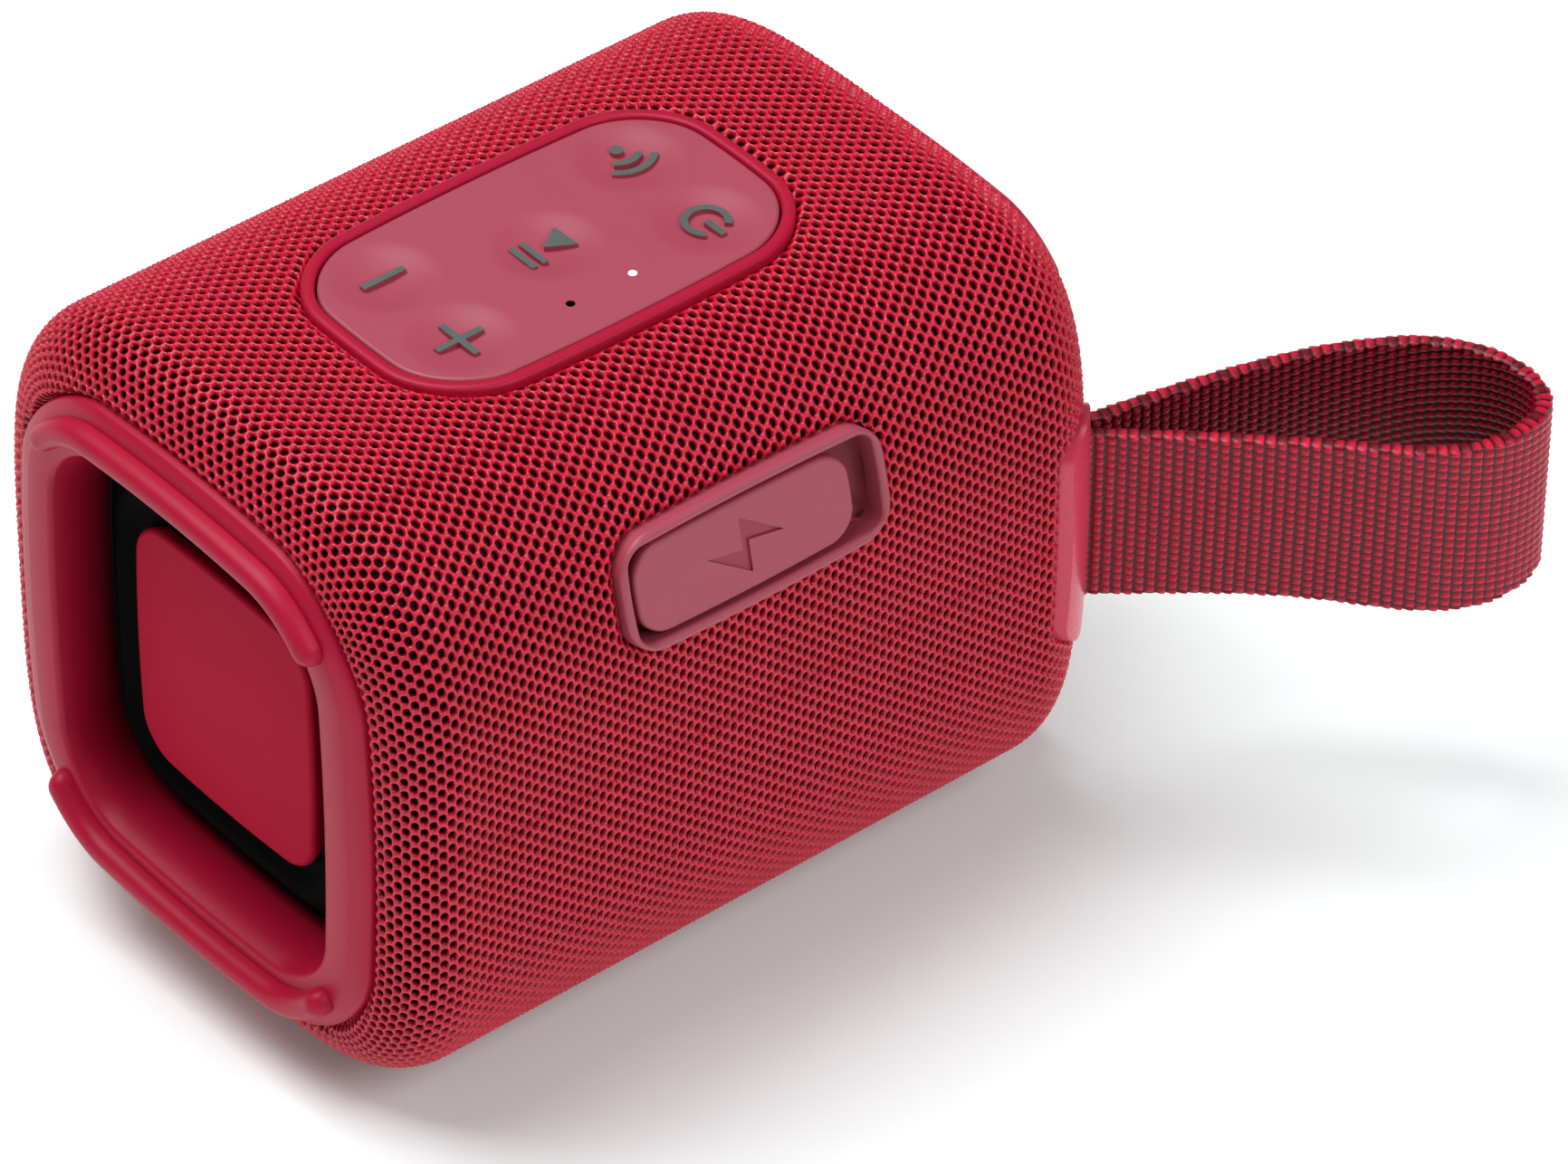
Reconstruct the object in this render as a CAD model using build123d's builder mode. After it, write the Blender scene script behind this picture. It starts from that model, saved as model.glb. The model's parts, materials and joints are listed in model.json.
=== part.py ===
from build123d import *
import math
import os

os.makedirs("parts", exist_ok=True)

# Small cloth-covered party speaker, in millimetres.
# Origin: on the standing surface, under the centre of the body.
# +Z is up out of the control panel, +X points to the end with the wrist strap,
# +Y is the front, where the driver plays through the cloth.

# ---------------------------------------------------------------- driving dimensions
body_half_width = 38.4        # cloth outside, along Y
body_half_height = 40.2       # cloth outside, along Z
body_half_length = 50.5       # cloth outside, along X
side_bow = 3.2                # how far each long side bows outwards
body_corner = 20.0            # rounding of the four long edges
end_round = 9.0               # rounding of the edges around each end
foot_proud = 1.0              # the foot lifts the cloth off the surface
cloth = 1.4                   # thickness of the knitted sleeve
wall = 2.5                    # thickness of the cabinet
gap = 0.25                    # fitting gap between neighbouring mouldings

ring_half_width = 31.3        # end ring, outer edge
ring_half_height = 33.9
ring_face = 51.4              # front face of the ring, from the middle of the body
ring_back = 43.4              # where the ring's shoulder meets the cabinet
opening_half_width = 24.45    # opening in the ring
opening_half_height = 26.75
bumper_width = 3.6
bumper_proud = 2.4
bumper_end_z = 23.0           # height of the bumpers' ends above and below the middle

radiator_half_width = 16.0    # passive radiator plate
radiator_half_height = 17.0
radiator_front = 46.3
radiator_thick = 1.8
radiator_frame_thick = 2.2

panel_half_length = 28.0      # control panel, outside of its frame
panel_half_width = 16.8
panel_corner = 11.0
panel_top = 40.4              # above the centre of the body
panel_depth = 5.8
frame_lip = 1.7
keypad_top = 40.2
board_top = 36.6              # key board, above the centre of the body
board_thick = 1.2
button_radius = 6.0
button_bottom = 38.7
dish_depth = 0.8
icon_width = 0.85
light_place = (4.1, -9.4)
microphone_place = (-4.6, -9.4)

cover_tilt = 14.0             # degrees, the cover leans in with the side of the body
cover_x = -1.5
cover_y = -37.3
cover_z = 23.3                # above the centre of the body
bezel_half_length = 18.5
bezel_half_width = 7.4
bezel_rim = 1.5
bezel_proud = 0.45
tray_depth = 5.0
flap_thick = 1.8
flap_end = 13.6               # free end of the flap, from the middle of the bezel
pocket_depth = 4.2
socket_x = -3.0

strap_width = 22.6
strap_thick = 1.8
strap_angle = -36.0           # degrees from +X, the way the strap leaves the corner
strap_offset = 1.0            # the strap's root, across that direction
knuckle_reach = 9.0           # where the strap starts to swing, from the corner's centre
loop_reach = 51.5             # centre of the loop's round end
loop_offset = 4.8
loop_radius = 10.6

driver_radius = 23.5
battery_radius = 9.1
battery_length = 65.0
screw_radius = 1.1
screw_head = 1.9

# ---------------------------------------------------------------- worked out from them
body_z = foot_proud + body_half_height
skin = cloth + wall
corner_x = body_half_length - end_round
corner_y = -(body_half_width - end_round)
tilt = math.radians(cover_tilt)
lead = math.radians(strap_angle)

cover_plane = Plane(
    origin=(cover_x, cover_y, body_z + cover_z),
    x_dir=(1, 0, 0),
    z_dir=(0, -math.cos(tilt), math.sin(tilt)),
)
strap_plane = Plane(
    origin=(corner_x, corner_y, body_z),
    x_dir=(math.cos(lead), math.sin(lead), 0),
    z_dir=(0, 0, 1),
)
button_places = {
    "button_volume_down": (-17.5, 7.0),
    "button_volume_up": (-17.5, -6.7),
    "button_play": (0.0, 0.3),
    "button_wireless": (17.0, 7.2),
    "button_power": (16.5, -7.0),
}


# ---------------------------------------------------------------- shared shapes
def save(part, name):
    """Label a finished piece and write its STEP file."""
    part.label = name
    export_step(part, f"parts/{name}.step")


def bowed_rectangle(half_a, half_b, bow, corner):
    """Rectangle whose four sides bow outwards to half_a and half_b, with round corners."""
    a = half_a - bow
    b = half_b - bow
    with BuildSketch(mode=Mode.PRIVATE) as outline:
        with BuildLine():
            ThreePointArc((-a, -b), (0, -half_b), (a, -b))
            ThreePointArc((a, -b), (half_a, 0), (a, b))
            ThreePointArc((a, b), (0, half_b), (-a, b))
            ThreePointArc((-a, b), (-half_a, 0), (-a, -b))
        make_face()
        fillet(outline.vertices(), corner)
    return outline.sketch


def bowed_prism(plane, half_a, half_b, bow, corner, height):
    """The bowed rectangle raised from a plane."""
    outline = bowed_rectangle(half_a, half_b, bow, corner)
    with BuildPart(mode=Mode.PRIVATE) as prism:
        with BuildSketch(plane):
            add(outline)
        extrude(amount=height)
    return prism.part


def end_plane(reach):
    """Plane across the body at the strap end; its normal points out of that end."""
    return Plane(origin=(reach, 0, body_z), x_dir=(0, 1, 0), z_dir=(1, 0, 0))


def body_block(inset):
    """The whole loaf-shaped body, a given distance inside the cloth's outer face."""
    half_length = body_half_length - inset
    outline = bowed_rectangle(
        body_half_width - inset, body_half_height - inset, side_bow, body_corner - inset
    )
    with BuildPart(mode=Mode.PRIVATE) as block:
        with BuildSketch(end_plane(-half_length)):
            add(outline)
        extrude(amount=2 * half_length)
        fillet(block.faces().filter_by(Axis.X).edges(), end_round - inset)
    return block.part


def level(height):
    """Horizontal plane at a height above the centre of the body."""
    return Plane.XY.offset(body_z + height)


def save_both_ends(part, name):
    """Save the piece at the strap end, and its mirror image at the other end."""
    left = mirror(part, about=Plane.YZ)
    save(part, f"{name}_right")
    save(left, f"{name}_left")


cloth_block = body_block(0)
cabinet_block = body_block(cloth)
cavity_block = body_block(skin)

ring_prism = bowed_prism(end_plane(ring_back), ring_half_width, ring_half_height, 2.4, 15.0, 8.0)
ring_prism_left = mirror(ring_prism, about=Plane.YZ)
panel_prism = bowed_prism(
    level(30), panel_half_length, panel_half_width, 0.9, panel_corner, 20.0
)
cover_prism = bowed_prism(
    cover_plane.offset(-tray_depth), bezel_half_length, bezel_half_width, 0.4, 3.4, 10.0
)
foot_prism = bowed_prism(Plane.XY, 30.0, 17.0, 0.9, 10.0, foot_proud + cloth)

# The strap's anchor fills a rounded pocket in the upright corner of the body.
anchor_turn = -8.0            # degrees from the strap's direction
anchor_half_width = 5.3
anchor_half_height = 15.5
anchor_root = 3.0             # bottom of the pocket, from the corner's centre
anchor_proud = 0.8
anchor_way = math.radians(strap_angle + anchor_turn)
anchor_plane = Plane(
    origin=(
        corner_x + anchor_root * math.cos(anchor_way),
        corner_y + anchor_root * math.sin(anchor_way),
        body_z - 0.9,
    ),
    x_dir=(-math.sin(anchor_way), math.cos(anchor_way), 0),
    z_dir=(math.cos(anchor_way), math.sin(anchor_way), 0),
)
with BuildPart() as anchor_pocket:
    with BuildSketch(anchor_plane):
        RectangleRounded(2 * anchor_half_width, 2 * anchor_half_height, 4.6)
    extrude(amount=12.0)

# ---------------------------------------------------------------- cloth sleeve
with BuildPart() as fabric_sleeve:
    add(cloth_block)
    add(cabinet_block, mode=Mode.SUBTRACT)
    add(ring_prism, mode=Mode.SUBTRACT)
    add(ring_prism_left, mode=Mode.SUBTRACT)
    add(panel_prism, mode=Mode.SUBTRACT)
    add(cover_prism, mode=Mode.SUBTRACT)
    add(anchor_pocket.part, mode=Mode.SUBTRACT)
    add(foot_prism, mode=Mode.SUBTRACT)
save(fabric_sleeve.part, "fabric_sleeve")

# ---------------------------------------------------------------- cabinet halves
boss_places = [(x, 0, body_z + z) for x in (-37.5, 37.5) for z in (-26.0, 26.0)]
boss_radius = 3.2
screw_head_y = -31.5
driver_face_y = 30.8
board_y = -28.0
board_posts = [(x, board_y, body_z + 2.0 + z) for x in (-27.5, 27.5) for z in (-7.0, 7.0)]
driver_screw_places = [
    (25.2 * math.cos(math.radians(turn)), 31.4, body_z + 25.2 * math.sin(math.radians(turn)))
    for turn in (45, 135, 225, 315)
]

with BuildPart() as cabinet:
    add(cabinet_block)
    add(cavity_block, mode=Mode.SUBTRACT)
    with Locations(*boss_places):
        Cylinder(boss_radius, 2 * body_half_width, rotation=(90, 0, 0))
    with Locations((0, driver_face_y + 5, body_z)):
        Cylinder(driver_radius + 3.5, 10.0, rotation=(90, 0, 0))
    with Locations(*[(x, board_y - 5.8, z) for x, y, z in board_posts]):
        Cylinder(2.2, 10.0, rotation=(90, 0, 0))
    add(cabinet_block, mode=Mode.INTERSECT)
    Box(2 * ring_back, 100.0, 200.0, mode=Mode.INTERSECT)
    with Locations((0, 35.0, body_z)):
        Cylinder(driver_radius, 20.0, rotation=(90, 0, 0), mode=Mode.SUBTRACT)
    with Locations(*[(x, -8.0, z) for x, y, z in boss_places]):
        Cylinder(screw_radius + 0.05, 60.0, rotation=(90, 0, 0), mode=Mode.SUBTRACT)
    with Locations(*board_posts):
        Cylinder(screw_radius + 0.05, 12.0, rotation=(90, 0, 0), mode=Mode.SUBTRACT)
    with Locations(*driver_screw_places):
        Cylinder(screw_radius, 8.0, rotation=(90, 0, 0), mode=Mode.SUBTRACT)
    with Locations(*[(x, screw_head_y - 5.0, z) for x, y, z in boss_places]):
        Cylinder(screw_head + 0.1, 10.0, rotation=(90, 0, 0), mode=Mode.SUBTRACT)
    add(panel_prism, mode=Mode.SUBTRACT)
    add(cover_prism, mode=Mode.SUBTRACT)
    add(anchor_pocket.part, mode=Mode.SUBTRACT)

with BuildPart() as cabinet_front:
    add(cabinet.part)
    with Locations((0, 50.0 + gap / 2, body_z)):
        Box(200.0, 100.0, 200.0, mode=Mode.INTERSECT)
save(cabinet_front.part, "cabinet_front")

with BuildPart() as cabinet_rear:
    add(cabinet.part)
    with Locations((0, -50.0 - gap / 2, body_z)):
        Box(200.0, 100.0, 200.0, mode=Mode.INTERSECT)
save(cabinet_rear.part, "cabinet_rear")

with BuildPart() as cabinet_screws:
    with Locations(*[(x, screw_head_y + 20.0, z) for x, y, z in boss_places]):
        Cylinder(screw_radius, 40.0, rotation=(90, 0, 0))
    with Locations(*[(x, screw_head_y - 0.7, z) for x, y, z in boss_places]):
        Cylinder(screw_head, 1.4, rotation=(90, 0, 0))
save(cabinet_screws.part, "cabinet_screws")

# ---------------------------------------------------------------- rubber foot
with BuildPart() as foot_pad:
    add(foot_prism)
save(foot_pad.part, "foot_pad")

# ---------------------------------------------------------------- end rings
ring_screw_places = [(y, z) for y in (-17.0, 17.0) for z in (-30.0, 30.0)]
funnel_half_width = 23.9
funnel_half_height = 25.0
opening_outline = bowed_rectangle(opening_half_width, opening_half_height, 1.1, 9.5)
funnel_outline = bowed_rectangle(funnel_half_width, funnel_half_height, 1.1, 9.0)

with BuildPart() as end_ring:
    add(cabinet_block)
    with Locations((ring_back + 10.0, 0, body_z)):
        Box(20.0, 200.0, 200.0, mode=Mode.INTERSECT)
    add(ring_prism)
    fillet(end_ring.faces().sort_by(Axis.X)[-1].edges(), 1.0)
    with BuildSketch(end_plane(ring_back)):
        add(funnel_outline)
    with BuildSketch(end_plane(ring_face)):
        add(opening_outline)
    loft(mode=Mode.SUBTRACT)
    with BuildSketch(end_plane(ring_face)):
        with Locations(*ring_screw_places):
            Circle(screw_radius + 0.05)
    extrude(amount=-10.0, mode=Mode.SUBTRACT)
    with BuildSketch(end_plane(ring_face)):
        with Locations(*ring_screw_places):
            Circle(screw_head - 0.1)
    extrude(amount=-1.6, mode=Mode.SUBTRACT)

with BuildPart() as end_ring_right:
    add(end_ring.part)
    add(anchor_pocket.part, mode=Mode.SUBTRACT)
save(end_ring_right.part, "end_ring_right")
save(mirror(end_ring.part, about=Plane.YZ), "end_ring_left")

with BuildPart() as ring_screws:
    with BuildSketch(end_plane(ring_face - 0.2)):
        with Locations(*ring_screw_places):
            Circle(screw_head - 0.2)
    extrude(amount=-1.4)
    with BuildSketch(end_plane(ring_face - 0.2)):
        with Locations(*ring_screw_places):
            Circle(screw_radius)
    extrude(amount=-9.6)
save_both_ends(ring_screws.part, "ring_screws")

# ---------------------------------------------------------------- bumpers on the rings
bumper_mid_width = (opening_half_width + ring_half_width) / 2
bumper_mid_height = (opening_half_height + ring_half_height) / 2
bumper_outer = bowed_rectangle(
    bumper_mid_width + bumper_width / 2, bumper_mid_height + bumper_width / 2, 1.8, 13.5
)
bumper_inner = bowed_rectangle(
    bumper_mid_width - bumper_width / 2, bumper_mid_height - bumper_width / 2, 1.8, 9.9
)
for name, up in (("bumper_top", 1), ("bumper_bottom", -1)):
    with BuildPart() as bumper:
        with BuildSketch(end_plane(ring_face)):
            add(bumper_outer)
            add(bumper_inner, mode=Mode.SUBTRACT)
            with Locations((0, up * (50.0 + bumper_end_z))):
                Rectangle(100.0, 100.0, mode=Mode.INTERSECT)
        extrude(amount=bumper_proud)
        fillet(bumper.faces().sort_by(Axis.X)[-1].edges(), 1.4)
    save_both_ends(bumper.part, name)

# ---------------------------------------------------------------- passive radiators
frame_front = ring_back
frame_back = ring_back - radiator_frame_thick
frame_opening = bowed_rectangle(21.0, 22.2, 0.8, 7.5)
with BuildPart() as radiator_frame:
    with BuildSketch(end_plane(frame_back)):
        add(bowed_rectangle(33.4, 35.2, side_bow, 16.0))
        add(frame_opening, mode=Mode.SUBTRACT)
        with Locations(*ring_screw_places):
            Circle(screw_radius + 0.05, mode=Mode.SUBTRACT)
    extrude(amount=radiator_frame_thick)
save(mirror(radiator_frame.part, about=Plane.YZ), "radiator_frame_left")
with BuildPart() as radiator_frame_right:
    add(radiator_frame.part)
    add(anchor_pocket.part, mode=Mode.SUBTRACT)
save(radiator_frame_right.part, "radiator_frame_right")

surround_flange = 0.8
surround_roll = 2.4
with BuildPart() as radiator_surround:
    with BuildSketch(end_plane(frame_front)):
        add(bowed_rectangle(funnel_half_width - 0.4, funnel_half_height - 0.4, 1.1, 8.6))
        add(bowed_rectangle(13.6, 14.6, 0.6, 4.5), mode=Mode.SUBTRACT)
    extrude(amount=surround_flange)
    with BuildSketch(end_plane(frame_front)):
        add(bowed_rectangle(22.2, 23.2, 1.0, 7.9))
        add(bowed_rectangle(17.2, 18.2, 0.7, 5.6), mode=Mode.SUBTRACT)
    extrude(amount=surround_roll)
    fillet(radiator_surround.faces().sort_by(Axis.X)[-1].edges(), 1.1)
save_both_ends(radiator_surround.part, "radiator_surround")

with BuildPart() as radiator_plate:
    with BuildSketch(end_plane(radiator_front - radiator_thick)):
        add(bowed_rectangle(radiator_half_width, radiator_half_height, 0.7, 5.0))
    extrude(amount=radiator_thick)
    fillet(radiator_plate.faces().sort_by(Axis.X)[-1].edges(), 0.6)
save_both_ends(radiator_plate.part, "radiator_plate")

with BuildPart() as radiator_weight:
    with BuildSketch(end_plane(40.4)):
        add(bowed_rectangle(11.0, 12.0, 0.5, 4.0))
    extrude(amount=radiator_front - radiator_thick - 40.4)
save_both_ends(radiator_weight.part, "radiator_weight")

# ---------------------------------------------------------------- control panel
frame_inner = bowed_rectangle(
    panel_half_length - frame_lip, panel_half_width - frame_lip, 0.9, panel_corner - frame_lip
)
ledge_inner = bowed_rectangle(
    panel_half_length - 4.2, panel_half_width - 4.2, 0.9, panel_corner - 4.2
)
with BuildPart() as control_frame:
    with BuildSketch(level(panel_top - panel_depth)):
        add(bowed_rectangle(panel_half_length, panel_half_width, 0.9, panel_corner))
    extrude(amount=panel_depth)
    fillet(control_frame.faces().sort_by(Axis.Z)[-1].edges(), 0.5)
    with BuildSketch(level(board_top - board_thick)):
        add(frame_inner)
    extrude(amount=10.0, mode=Mode.SUBTRACT)
    with BuildSketch(level(30)):
        add(ledge_inner)
    extrude(amount=20.0, mode=Mode.SUBTRACT)
save(control_frame.part, "control_frame")

keypad_outline = bowed_rectangle(
    panel_half_length - frame_lip - gap,
    panel_half_width - frame_lip - gap,
    0.9,
    panel_corner - frame_lip - gap,
)
keypad_skirt = bowed_rectangle(
    panel_half_length - frame_lip - 1.3,
    panel_half_width - frame_lip - 1.3,
    0.9,
    panel_corner - frame_lip - 1.3,
)
with BuildPart() as keypad:
    with BuildSketch(level(board_top)):
        add(keypad_outline)
    extrude(amount=keypad_top - board_top)
    with BuildSketch(level(board_top)):
        add(keypad_skirt)
    extrude(amount=button_bottom - board_top, mode=Mode.SUBTRACT)
    with BuildSketch(level(board_top)):
        with Locations(*button_places.values()):
            Circle(button_radius + 0.1)
        with Locations(light_place, microphone_place):
            Circle(0.55)
    extrude(amount=10.0, mode=Mode.SUBTRACT)
save(keypad.part, "keypad")


def minus_icon():
    with BuildSketch(mode=Mode.PRIVATE) as icon:
        Rectangle(5.8, icon_width)
    return icon.sketch


def plus_icon():
    with BuildSketch(mode=Mode.PRIVATE) as icon:
        Rectangle(6.3, icon_width)
        Rectangle(icon_width, 6.3)
    return icon.sketch


def play_icon():
    """A play triangle and two pause bars."""
    with BuildSketch(mode=Mode.PRIVATE) as icon:
        with BuildLine():
            Polyline((-0.4, 0.3), (2.9, 2.4), (2.9, -1.8), close=True)
        make_face()
        with Locations((-1.9, 0.3), (-3.4, 0.3)):
            Rectangle(icon_width, 4.2)
    return icon.sketch


def wireless_icon():
    """A dot with two arcs spreading from it, as a wedge cut out of two rings."""
    dot_y = 2.0
    with BuildSketch(mode=Mode.PRIVATE) as icon:
        for radius in (1.9, 3.6):
            with Locations((0, dot_y)):
                Circle(radius + icon_width)
                Circle(radius, mode=Mode.SUBTRACT)
        with BuildLine():
            Polyline((0, dot_y), (-5.0, dot_y - 5.0), (5.0, dot_y - 5.0), close=True)
        make_face(mode=Mode.INTERSECT)
        with Locations((0, dot_y)):
            Circle(0.8)
    return icon.sketch


def power_icon():
    """An open ring with a bar in its opening."""
    with BuildSketch(mode=Mode.PRIVATE) as icon:
        Circle(2.8)
        Circle(2.8 - icon_width, mode=Mode.SUBTRACT)
        with Locations((0, -2.6)):
            Rectangle(2.4, 2.6, mode=Mode.SUBTRACT)
        with Locations((0, -1.7)):
            Rectangle(icon_width, 2.6)
    return icon.sketch


icons = {
    "button_volume_down": minus_icon(),
    "button_volume_up": plus_icon(),
    "button_play": play_icon(),
    "button_wireless": wireless_icon(),
    "button_power": power_icon(),
}
dish_sphere = (button_radius**2 + dish_depth**2) / (2 * dish_depth)
for name, place in button_places.items():
    with BuildPart() as button:
        with BuildSketch(level(button_bottom)):
            with Locations(place):
                Circle(button_radius)
        extrude(amount=keypad_top - button_bottom)
        with Locations((place[0], place[1], body_z + keypad_top - dish_depth + dish_sphere)):
            Sphere(dish_sphere, mode=Mode.SUBTRACT)
        icon_plane = Plane(origin=(place[0], place[1], body_z + button_bottom + 0.3))
        with BuildSketch(icon_plane):
            add(icons[name])
        extrude(amount=keypad_top - button_bottom - 0.3)
    save(button.part, name)

with BuildPart() as key_board:
    with BuildSketch(level(board_top - board_thick)):
        add(keypad_outline)
    extrude(amount=board_thick)
save(key_board.part, "key_board")

with BuildPart() as key_switches:
    with BuildSketch(level(board_top)):
        with Locations(*button_places.values()):
            RectangleRounded(4.4, 4.4, 0.6)
    extrude(amount=0.9)
    with BuildSketch(level(board_top + 0.9)):
        with Locations(*button_places.values()):
            Circle(1.1)
    extrude(amount=0.5)
save(key_switches.part, "key_switches")

with BuildPart() as status_light:
    with BuildSketch(level(board_top)):
        with Locations(light_place):
            Circle(0.5)
    extrude(amount=keypad_top - board_top)
save(status_light.part, "status_light")

with BuildPart() as microphone:
    with BuildSketch(level(board_top)):
        with Locations(microphone_place):
            Rectangle(3.0, 2.0)
    extrude(amount=1.0)
save(microphone.part, "microphone")

# ---------------------------------------------------------------- charging cover
socket_front = -2.6
socket_back = -9.8
bezel_outline = bowed_rectangle(bezel_half_length, bezel_half_width, 0.4, 3.4)
bezel_inner = bowed_rectangle(
    bezel_half_length - bezel_rim, bezel_half_width - bezel_rim, 0.4, 1.2
)
flap_top = -0.2
flap_left = -(bezel_half_length - bezel_rim) + 4 * gap
tray_floor = flap_top - flap_thick - 0.2
pocket_start = 12.0
pocket_end = bezel_half_length - bezel_rim
with BuildPart() as charging_bezel:
    with BuildSketch(cover_plane.offset(-tray_depth)):
        add(bezel_outline)
    extrude(amount=tray_depth + bezel_proud)
    outer_face = charging_bezel.faces().sort_by(Axis(cover_plane.origin, cover_plane.z_dir))[-1]
    fillet(outer_face.edges(), 0.35)
    with BuildSketch(cover_plane.offset(tray_floor)):
        add(bezel_inner)
    extrude(amount=10.0, mode=Mode.SUBTRACT)
    with BuildSketch(cover_plane.offset(-pocket_depth)):
        with Locations(((pocket_start + pocket_end) / 2, 0)):
            RectangleRounded(pocket_end - pocket_start, 2 * (bezel_half_width - bezel_rim) - 0.6, 1.5)
    extrude(amount=10.0, mode=Mode.SUBTRACT)
    with BuildSketch(cover_plane.offset(-20.0)):
        with Locations((socket_x - cover_x, 0)):
            SlotOverall(9.1, 3.5)
    extrude(amount=30.0, mode=Mode.SUBTRACT)
    with BuildSketch(cover_plane.offset(socket_back)):
        with Locations((socket_x - cover_x - 8.5, 0), (socket_x - cover_x + 8.5, 0)):
            Circle(1.8)
    extrude(amount=-socket_back - tray_depth)
save(charging_bezel.part, "charging_bezel")

flap_middle = (flap_left + flap_end) / 2
flap_half_width = bezel_half_width - bezel_rim - 0.5 - gap / 2
hinge_plane = Plane(
    origin=cover_plane.from_local_coords((flap_left + flap_thick / 2, 0, flap_top - flap_thick / 2)),
    x_dir=cover_plane.x_dir,
    z_dir=-cover_plane.y_dir,
)
with BuildPart() as charging_flap:
    with BuildSketch(cover_plane.offset(flap_top - flap_thick)):
        with Locations((flap_middle, 0)):
            RectangleRounded(flap_end - flap_left, 2 * flap_half_width, 3.6)
    extrude(amount=flap_thick)
    # the hinged end is a half round bead, so it turns in its corner of the tray
    with BuildSketch(hinge_plane):
        Circle(flap_thick / 2)
        with Locations((bezel_half_length, 0)):
            Rectangle(2 * bezel_half_length, flap_thick)
    extrude(amount=bezel_half_width, both=True, mode=Mode.INTERSECT)
    with BuildSketch(cover_plane.offset(flap_top - flap_thick)):
        with Locations((socket_x - cover_x, 0)):
            SlotOverall(7.2, 1.8)
    extrude(amount=-1.4)
    with BuildSketch(cover_plane.offset(flap_top)):
        with BuildLine():
            Polyline(
                (-5.6, -1.6), (1.8, 2.9), (0.4, 0.2), (4.4, 0.6), (-2.6, -4.2), (-1.4, -1.4),
                close=True,
            )
        make_face()
    extrude(amount=-0.25, mode=Mode.SUBTRACT)
save(charging_flap.part, "charging_flap")

with BuildPart() as usb_c_socket:
    with BuildSketch(cover_plane.offset(socket_back)):
        with Locations((socket_x - cover_x, 0)):
            SlotOverall(8.94, 3.26)
    extrude(amount=socket_front - socket_back)
    with BuildSketch(cover_plane.offset(socket_back + 0.8)):
        with Locations((socket_x - cover_x, 0)):
            SlotOverall(8.34, 2.66)
    extrude(amount=10.0, mode=Mode.SUBTRACT)
    with BuildSketch(cover_plane.offset(socket_back + 0.5)):
        with Locations((socket_x - cover_x, 0)):
            Rectangle(6.7, 0.7)
    extrude(amount=4.6)
save(usb_c_socket.part, "usb_c_socket")

with BuildPart() as port_board:
    with BuildSketch(cover_plane.offset(socket_back - 1.2)):
        with Locations((socket_x - cover_x, 0)):
            RectangleRounded(22.0, 11.0, 1.0)
    extrude(amount=1.2)
save(port_board.part, "port_board")

# ---------------------------------------------------------------- wrist strap
slot_half = strap_thick + gap
mouth_half = slot_half + 0.55
tail_start = 3.6
pin_reach = 5.0
pin_radius = 0.9
anchor_skin = body_block(-anchor_proud)
with BuildPart() as strap_anchor:
    add(anchor_skin)
    add(anchor_pocket.part, mode=Mode.INTERSECT)
    with BuildSketch(strap_plane.offset(-strap_width / 2 - gap)):
        with Locations((tail_start - gap + 10, strap_offset)):
            Rectangle(20.0, 2 * slot_half)
        with Locations((knuckle_reach - 0.4 + 10, strap_offset)):
            Rectangle(20.0, 2 * mouth_half)
        with Locations((knuckle_reach, strap_offset)):
            Circle(slot_half)
    extrude(amount=strap_width + 2 * gap, mode=Mode.SUBTRACT)
    with BuildSketch(strap_plane.offset(-strap_width / 2 - 3.0)):
        with Locations((pin_reach, strap_offset)):
            Circle(pin_radius)
    extrude(amount=strap_width + 6.0, mode=Mode.SUBTRACT)
save(strap_anchor.part, "strap_anchor")

with BuildPart() as strap_pin:
    with BuildSketch(strap_plane.offset(-strap_width / 2 - 2.9)):
        with Locations((pin_reach, strap_offset)):
            Circle(pin_radius)
    extrude(amount=strap_width + 5.8)
save(strap_pin.part, "strap_pin")

with BuildPart() as strap_tail:
    with BuildSketch(strap_plane.offset(-strap_width / 2)):
        with Locations(((tail_start + knuckle_reach - strap_thick - 0.3) / 2, strap_offset)):
            Rectangle(knuckle_reach - strap_thick - 0.3 - tail_start, 2 * strap_thick)
        with Locations((pin_reach, strap_offset)):
            Circle(pin_radius, mode=Mode.SUBTRACT)
    extrude(amount=strap_width)
save(strap_tail.part, "strap_tail")


neck_length = 4.0               # the straight stretch next to the anchor


def loop_outline(inset, root):
    """Teardrop seen from above: a near side, a round end and a fuller far side."""
    near = strap_offset - strap_thick + inset
    far = strap_offset + strap_thick - inset
    bend = loop_radius - inset
    with BuildSketch(mode=Mode.PRIVATE) as outline:
        with BuildLine():
            Line((root, near), (loop_reach - 1.2, loop_offset - bend))
            ThreePointArc(
                (loop_reach - 1.2, loop_offset - bend),
                (loop_reach + bend, loop_offset),
                (loop_reach - 3.0, loop_offset + bend - 0.4),
            )
            ThreePointArc(
                (loop_reach - 3.0, loop_offset + bend - 0.4),
                (29.0 + neck_length / 2, 11.4 - inset),
                (root + neck_length, far),
            )
            Polyline((root + neck_length, far), (root, far), (root, near))
        make_face()
    return outline.sketch


with BuildPart() as strap_loop:
    with BuildSketch(strap_plane.offset(-strap_width / 2)):
        add(loop_outline(0.0, knuckle_reach))
        with Locations((knuckle_reach, strap_offset)):
            Circle(strap_thick)
        add(loop_outline(strap_thick, knuckle_reach + 3.5), mode=Mode.SUBTRACT)
    extrude(amount=strap_width)
save(strap_loop.part, "strap_loop")

# ---------------------------------------------------------------- driver
basket_front = 29.4
basket_back = 14.0
coil_radius = 6.5
axis_plane = Plane(origin=(0, 0, body_z), x_dir=(1, 0, 0), z_dir=(0, 1, 0))

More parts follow.
